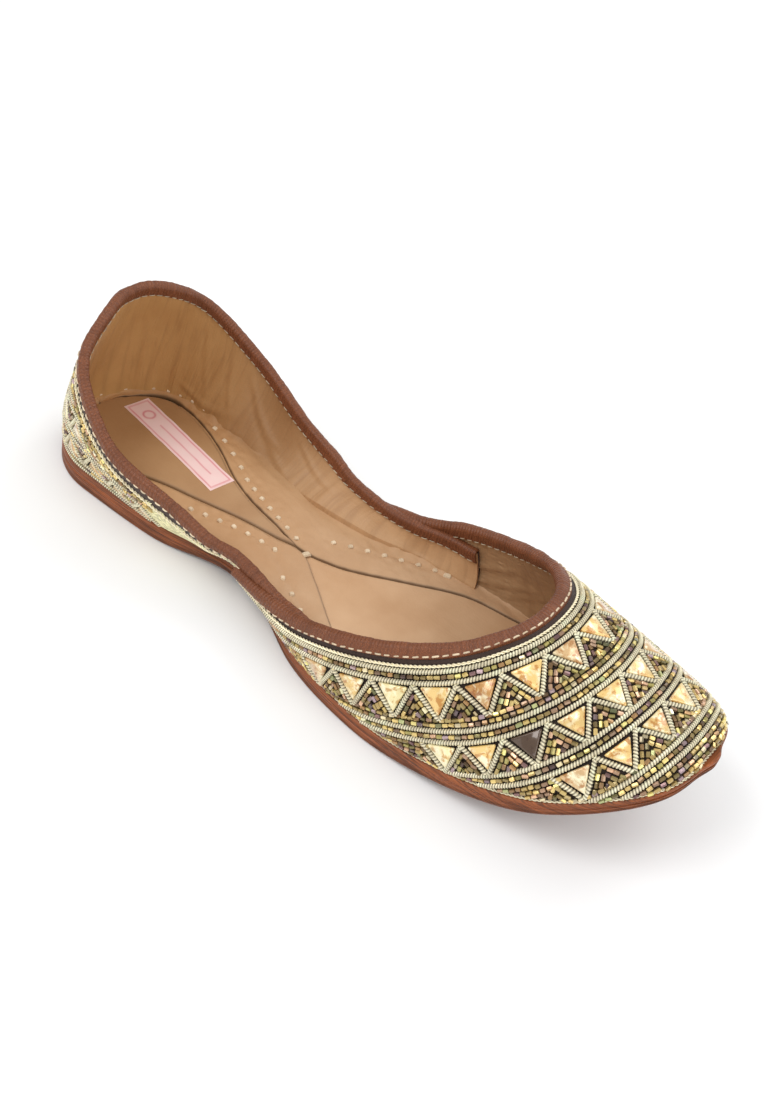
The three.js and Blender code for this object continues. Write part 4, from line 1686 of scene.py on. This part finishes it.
class Zone:
    """A band of plates with cords round them and nested bead chevrons between.

    base and tip are the drops of a plate's straight side and of its point. The cords run
    from a little before the one to a little past the other.
    """

    def __init__(self, skin, base, tip, width, pitch, phase, ends, margin):
        self.skin, self.base, self.tip, self.width, self.pitch = skin, base, tip, width, pitch
        self.margin, self.ends = margin, ends
        self.middle = (base + tip) / 2
        self.first, self.tall = base - CORD_BEFORE, tip + CORD_PAST - base + CORD_BEFORE
        self.reach = pitch / 2 - CORD_ASIDE
        room = margin + 0.5 * (tip - base) * PLATE_ROOM
        self.centres = skin.evenly(self.middle, pitch, phase, ends, room)
        self.gaps = skin.evenly(self.middle, pitch, phase + pitch / 2, ends, margin + 0.3)

    def plates(self, heap, sizes, draw, dark=()):
        """Sets the plates, each a touch turned, one or two of them dark."""
        shape, faces = plate_shape(self.width, self.tip - self.base, sizes.plate / MM)
        n = len(self.centres)
        if n == 0:
            return
        point, along, down, normal = self.skin.at(self.centres, self.middle, 0.15)
        turn = draw.normal(0, 0.035, (n, 1))
        x = along * np.cos(turn) + down * np.sin(turn)
        y = np.cross(normal, x)
        tint = PLATE_TINTS[draw.choice(len(PLATE_TINTS), n, p=PLATE_SHARES)]
        tint = tint * draw.uniform(0.88, 1.06, (n, 1))
        for place in dark:
            tint[np.argmin(np.abs(self.centres - place))] = DARK_PLATE
        fit = draw.uniform(0.94, 1.04, (n, 1))
        heap.scatter(shape, faces, point, (x, y, normal), fit, np.clip(tint, 0, 1))

    def cords(self, heap, radius, ridge, tints, draw):
        """Two cords to a plate, from the band's edge in to just past its point."""
        t = np.linspace(0, 1, 14)
        drop = self.first + self.tall * t
        for centre in self.centres:
            for sign in (-1, 1):
                offset = sign * (self.reach + (POINT_ASIDE - self.reach) * t)
                around = self.skin.beside(centre, offset, drop)
                keep = (self.skin.span(around) - drop > self.margin) & (np.abs(around) < 0.998)
                if keep.sum() > 4:
                    add_cord(heap, self.skin, around[keep], drop[keep], radius, ridge, tints, draw)

    def chevrons(self, heap, sizes, draw):
        """Rows of beads nested under each cord peak, parallel to the cords."""
        lean = self.reach / self.tall
        slope = math.hypot(1, lean)
        pitch = sizes.bead_pitch / MM
        row = CHEVRON_ROW * slope / lean
        x, y, slant = [], [], []
        for k in (1, 2, 3, 4):
            peak = self.first + k * row
            length = (self.tip + 0.9 - peak) * slope
            along = np.arange(0.55 * pitch, length, pitch)
            for sign in (-1, 1):
                x += list(sign * along * lean / slope)
                y += list(peak + along / slope)
                slant += [math.atan2(1, sign * lean)] * len(along)
        x, y, slant = np.array(x), np.array(y), np.array(slant)
        around = self.skin.beside(self.gaps[:, None], x[None], y[None])
        drop = np.broadcast_to(y, around.shape)
        turn = np.broadcast_to(slant, around.shape)
        keep = (self.skin.span(around) - drop > self.margin) & (np.abs(around) < self.ends)
        add_beads(heap, self.skin, around[keep], drop[keep], turn[keep], sizes, draw)

    def filler(self, heap, sizes, draw):
        """Straight rows of beads where the sole cuts the band off past its last plates."""
        if len(self.centres) < 2:
            return
        clear = self.skin.hand * (0.5 * self.pitch + 0.9)
        low = self.skin.beside(self.centres[:1], -clear, self.middle)[0]
        high = self.skin.beside(self.centres[-1:], clear, self.middle)[0]
        for drop in np.arange(self.base + 0.6, self.tip + 1, FILLER_ROW):
            pitch = sizes.bead_pitch / MM
            around = self.skin.evenly(drop, pitch, draw.uniform(0, 1), self.ends, self.margin + 0.1)
            slide = (self.tip + CORD_PAST - drop) / self.tall
            shift = (slide - 0.5) * self.pitch / self.skin.read(self.skin.speed, around, drop)
            out = (around < low + shift) | (around > high - shift)
            add_beads(heap, self.skin, around[out], drop, 0.0, sizes, draw)


def bead_rows(heap, skin, drops, ends, margin, sizes, draw):
    """Straight rows of beads along a panel, one for each drop."""
    for drop in drops:
        around = skin.evenly(drop, sizes.bead_pitch / MM, draw.uniform(0, 1), ends, margin)
        add_beads(heap, skin, around, drop, 0.0, sizes, draw)


# The vamp's bands, by mm down from the throat's edge.
VAMP_BRAID = 5.1
VAMP_CORDS = (6.6, 10.0, 24.2, 27.7, 38.3, 41.9, 53.1, 56.4)
VAMP_ROWS = (8.3, 20.9, 22.5, 26.0, 40.1, 51.7, 54.7, 58.0, 59.5, 61.0, 62.4)
VAMP_ZONES = (
    # base, tip, plate width, pitch, phase, where a dark plate stands (around)
    (11.2, 19.6, 9.8, 14.5, 7.2, ()),
    (28.8, 36.6, 9.8, 14.4, 5.4, (-0.28,)),
    (43.2, 50.6, 9.8, 14.5, 7.7, ()),
)
# The quarter's bands, by mm up from the sole.
HEEL_CORDS = (1.0, 4.4, 14.2, 17.6, 28.3, 31.7, 42.4)
HEEL_ROWS = (2.7, 15.9, 30.0, 40.8)
HEEL_ZONES = (
    (5.4, 12.6, 7.6, 12.4, 0.0, ()),
    (18.8, 26.4, 7.6, 12.4, 6.2, ()),
    (32.8, 39.6, 7.2, 12.4, 0.0, ()),
)
HEEL_END = 0.44
UNDER_STRIP = 11.2
# The rows right under the quarter's bare strip, and the braid on it, by mm down from the collar.
COLLAR_ROWS = (8.6, 10.2)
COLLAR_BRAID = 7.1
SOLE_BRAID = 0.45
# The waist's gold rows, by mm up from the sole.
GOLD_ROWS = np.arange(0.9, 24, 1.75)
GOLD_PITCH = 0.78
GOLD_LEAN = 0.62
GOLD_END = 0.76


def vamp_zones():
    return [Zone(VAMP, *row[:5], PANEL_ENDS, 0.9) for row in VAMP_ZONES]


def heel_zones():
    return [Zone(HEEL, *row[:5], HEEL_END, UNDER_STRIP) for row in HEEL_ZONES]


class SHOE_OT_cords(bpy.types.Operator):
    """Couches the wound cords and the fine braid onto the vamp and the quarter"""

    bl_idname = "shoe.cords"
    bl_label = "Cords"

    def execute(self, context):
        s, c = context.scene.shoe_sizes, context.scene.shoe_colours
        radius, ridge = s.cord / MM / 2, s.cord_ridge / MM
        silver = np.array(c.silver)
        draw = np.random.default_rng(71)
        rest = (radius, ridge, silver, draw)
        heap = Heap()
        for drop in VAMP_CORDS:
            band_cord(heap, VAMP, drop, PANEL_ENDS, 0.9, *rest)
        build("vamp_band_cords", heap, finish("silver"))
        heap = Heap()
        for zone in vamp_zones():
            zone.cords(heap, *rest)
        build("vamp_zigzag_cords", heap, finish("silver"))
        heap = Heap()
        for drop in HEEL_CORDS:
            band_cord(heap, HEEL, drop, HEEL_END, UNDER_STRIP, *rest)
        for zone in heel_zones():
            zone.cords(heap, *rest)
        build("quarter_cords", heap, finish("silver"))
        heap = Heap()
        thick = s.braid / MM
        add_braid(heap, VAMP, VAMP_BRAID, PANEL_ENDS, 0.5, thick, silver)
        add_braid(heap, VAMP_FOOT, SOLE_BRAID, PANEL_ENDS, 0.5, thick, silver * 0.8)
        add_braid(heap, QUARTER, COLLAR_BRAID, 0.66, 0.5, thick, silver)
        build("silver_braid", heap, finish("silver"))
        return {"FINISHED"}


class SHOE_OT_beads(bpy.types.Operator):
    """Sews the rows and chevrons of bugle beads"""

    bl_idname = "shoe.beads"
    bl_label = "Beads"

    def execute(self, context):
        s = context.scene.shoe_sizes
        draw = np.random.default_rng(81)
        heap = Heap()
        bead_rows(heap, VAMP, VAMP_ROWS, PANEL_ENDS, 0.5, s, draw)
        build("vamp_bead_rows", heap, finish("glass"))
        heap = Heap()
        for zone in vamp_zones():
            zone.chevrons(heap, s, draw)
            zone.filler(heap, s, draw)
        build("vamp_bead_chevrons", heap, finish("glass"))
        heap = Heap()
        bead_rows(heap, HEEL, HEEL_ROWS, HEEL_END, UNDER_STRIP, s, draw)
        bead_rows(heap, QUARTER, COLLAR_ROWS, HEEL_END + 0.03, 1.2, s, draw)
        for zone in heel_zones():
            zone.chevrons(heap, s, draw)
            zone.filler(heap, s, draw)
        build("quarter_beads", heap, finish("glass"))
        return {"FINISHED"}


class SHOE_OT_plates(bpy.types.Operator):
    """Sets the three-cornered shell plates"""

    bl_idname = "shoe.plates"
    bl_label = "Plates"

    def execute(self, context):
        s = context.scene.shoe_sizes
        draw = np.random.default_rng(91)
        for name, zones, rows in (
            ("vamp_plates", vamp_zones(), VAMP_ZONES), ("quarter_plates", heel_zones(), HEEL_ZONES)
        ):
            heap = Heap()
            for zone, row in zip(zones, rows):
                zone.plates(heap, s, draw, row[5])
            build(name, heap, finish("shell"), smooth=50)
        return {"FINISHED"}


class SHOE_OT_waist_thread(bpy.types.Operator):
    """Fills the waist with herringbone rows of gold thread"""

    bl_idname = "shoe.waist_thread"
    bl_label = "Waist thread"

    def execute(self, context):
        s, c = context.scene.shoe_sizes, context.scene.shoe_colours
        shape, faces = stitch_shape(4)
        draw = np.random.default_rng(101)
        heap = Heap()
        length, thick = s.gold_stitch / MM, s.gold_thread / MM
        for number, height in enumerate(GOLD_ROWS):
            around = HEEL.evenly(height, GOLD_PITCH, 0.0, GOLD_END, 6.9)
            around = around[np.abs(around) > HEEL_END + 0.004]
            point, along, down, normal = HEEL.at(around, height, thick * 0.55)
            lean = GOLD_LEAN if number % 2 else -GOLD_LEAN
            turn = (lean + draw.normal(0, 0.05, len(around)))[:, None] * np.sign(around)[:, None]
            x = along * np.cos(turn) + down * np.sin(turn)
            tint = np.array(c.gold) * draw.uniform(0.7, 1.1, (len(around), 1))
            size = (length, thick, thick)
            heap.scatter(shape, faces, point, (x, np.cross(normal, x), normal), size, tint)
        build("waist_gold_thread", heap, finish("gold"))
        return {"FINISHED"}


# ---------------- floor, light and camera


FLOOR_HALF = 6.0
LAMPS = (
    # name, place, size, the power's own name
    ("key_light", (-0.35, -0.55, 0.85), 0.55, "key"),
    ("fill_light", (0.75, -0.25, 0.6), 0.7, "fill"),
    ("back_light", (0.1, 0.75, 0.7), 0.6, "fill"),
)
LAMPS_AIM = np.array([0, 0, 0.03])
CAMERA_AIM = np.array([-0.0015, 0, 0.020])
CAMERA_ASIDE = 0.00975
CAMERA_ABOVE = 0.00395


class SHOE_OT_stage(bpy.types.Operator):
    """Lays the pale floor, hangs the soft lights and sets the camera"""

    bl_idname = "shoe.stage"
    bl_label = "Stage"

    def execute(self, context):
        st = context.scene.shoe_stage
        scene = context.scene
        mesh = bpy.data.meshes.new("floor")
        around = ((-1, -1), (1, -1), (1, 1), (-1, 1))
        corners = [(x * FLOOR_HALF, y * FLOOR_HALF, 0) for x, y in around]
        mesh.from_pydata(corners, [], [(0, 1, 2, 3)])
        floor = bpy.data.objects.new("floor", mesh)
        scene.collection.objects.link(floor)
        f = Finish("floor")
        f.set(Base_Color=st.floor, Roughness=0.9, Specular_IOR_Level=0.1)
        mesh.materials.append(f.material)
        world = bpy.data.worlds.new("soft room")
        world.use_nodes = True
        sky = world.node_tree.nodes["Background"]
        sky.inputs["Color"].default_value = (1, 1, 1, 1)
        sky.inputs["Strength"].default_value = st.room
        scene.world = world
        scene.view_settings.view_transform = "Standard"
        for name, place, size, power in LAMPS:
            lamp = bpy.data.lights.new(name, "AREA")
            lamp.shape = "SQUARE"
            lamp.size = size
            lamp.energy = getattr(st, power)
            holder = bpy.data.objects.new(name, lamp)
            z = unit(np.array(place) - LAMPS_AIM)
            x = unit(np.cross([0, 0, 1.0], z))
            self.stand(holder, place, x, np.cross(z, x), z)
            scene.collection.objects.link(holder)
        a, e, r = st.azimuth, st.elevation, st.roll
        back = np.array([math.sin(a) * math.cos(e), -math.cos(a) * math.cos(e), math.sin(e)])
        right = np.array([math.cos(a), math.sin(a), 0.0])
        up = np.cross(back, right)
        x = right * math.cos(r) + up * math.sin(r)
        y = -right * math.sin(r) + up * math.cos(r)
        place = CAMERA_AIM + back * st.distance + x * CAMERA_ASIDE + y * CAMERA_ABOVE
        lens = bpy.data.cameras.new("camera")
        lens.lens = st.lens
        lens.sensor_width = 36
        lens.clip_start = 0.01
        camera = bpy.data.objects.new("camera", lens)
        self.stand(camera, place, x, y, back)
        scene.collection.objects.link(camera)
        scene.camera = camera
        return {"FINISHED"}

    def stand(self, thing, place, x, y, z):
        """Gives an object its place and its three axes."""
        matrix = np.eye(4)
        matrix[:3, 0], matrix[:3, 1], matrix[:3, 2], matrix[:3, 3] = x, y, z, place
        thing.matrix_world = Matrix(matrix.tolist())


class SHOE_PT_panel(bpy.types.Panel):
    """Lists the shoe's parts"""

    bl_label = "Beaded shoe"
    bl_idname = "SHOE_PT_panel"
    bl_space_type = "VIEW_3D"
    bl_region_type = "UI"
    bl_category = "Shoe"

    def draw(self, context):
        for operator in OPERATORS:
            self.layout.operator(operator.bl_idname)
        for group_name in GROUPS:
            box = self.layout.box()
            group = getattr(context.scene, group_name)
            for name in group.__annotations__:
                box.prop(group, name)


OPERATORS = (
    SHOE_OT_stage, SHOE_OT_outsole, SHOE_OT_footbed, SHOE_OT_quarter, SHOE_OT_vamp,
    SHOE_OT_bindings, SHOE_OT_binding_stitches, SHOE_OT_footbed_stitches, SHOE_OT_label,
    SHOE_OT_cords, SHOE_OT_beads, SHOE_OT_plates, SHOE_OT_waist_thread,
)
GROUPS = {"shoe_sizes": ShoeSizes, "shoe_colours": ShoeColours, "shoe_stage": ShoeStage}


def register():
    for group in GROUPS.values():
        bpy.utils.register_class(group)
    for name, group in GROUPS.items():
        setattr(bpy.types.Scene, name, bpy.props.PointerProperty(type=group))
    for operator in (*OPERATORS, SHOE_PT_panel):
        bpy.utils.register_class(operator)


def unregister():
    for operator in (SHOE_PT_panel, *reversed(OPERATORS)):
        bpy.utils.unregister_class(operator)
    for name in GROUPS:
        delattr(bpy.types.Scene, name)
    for group in GROUPS.values():
        bpy.utils.unregister_class(group)


def main():
    register()
    for operator in OPERATORS:
        family, name = operator.bl_idname.split(".")
        getattr(getattr(bpy.ops, family), name)()


if __name__ == "__main__":
    main()
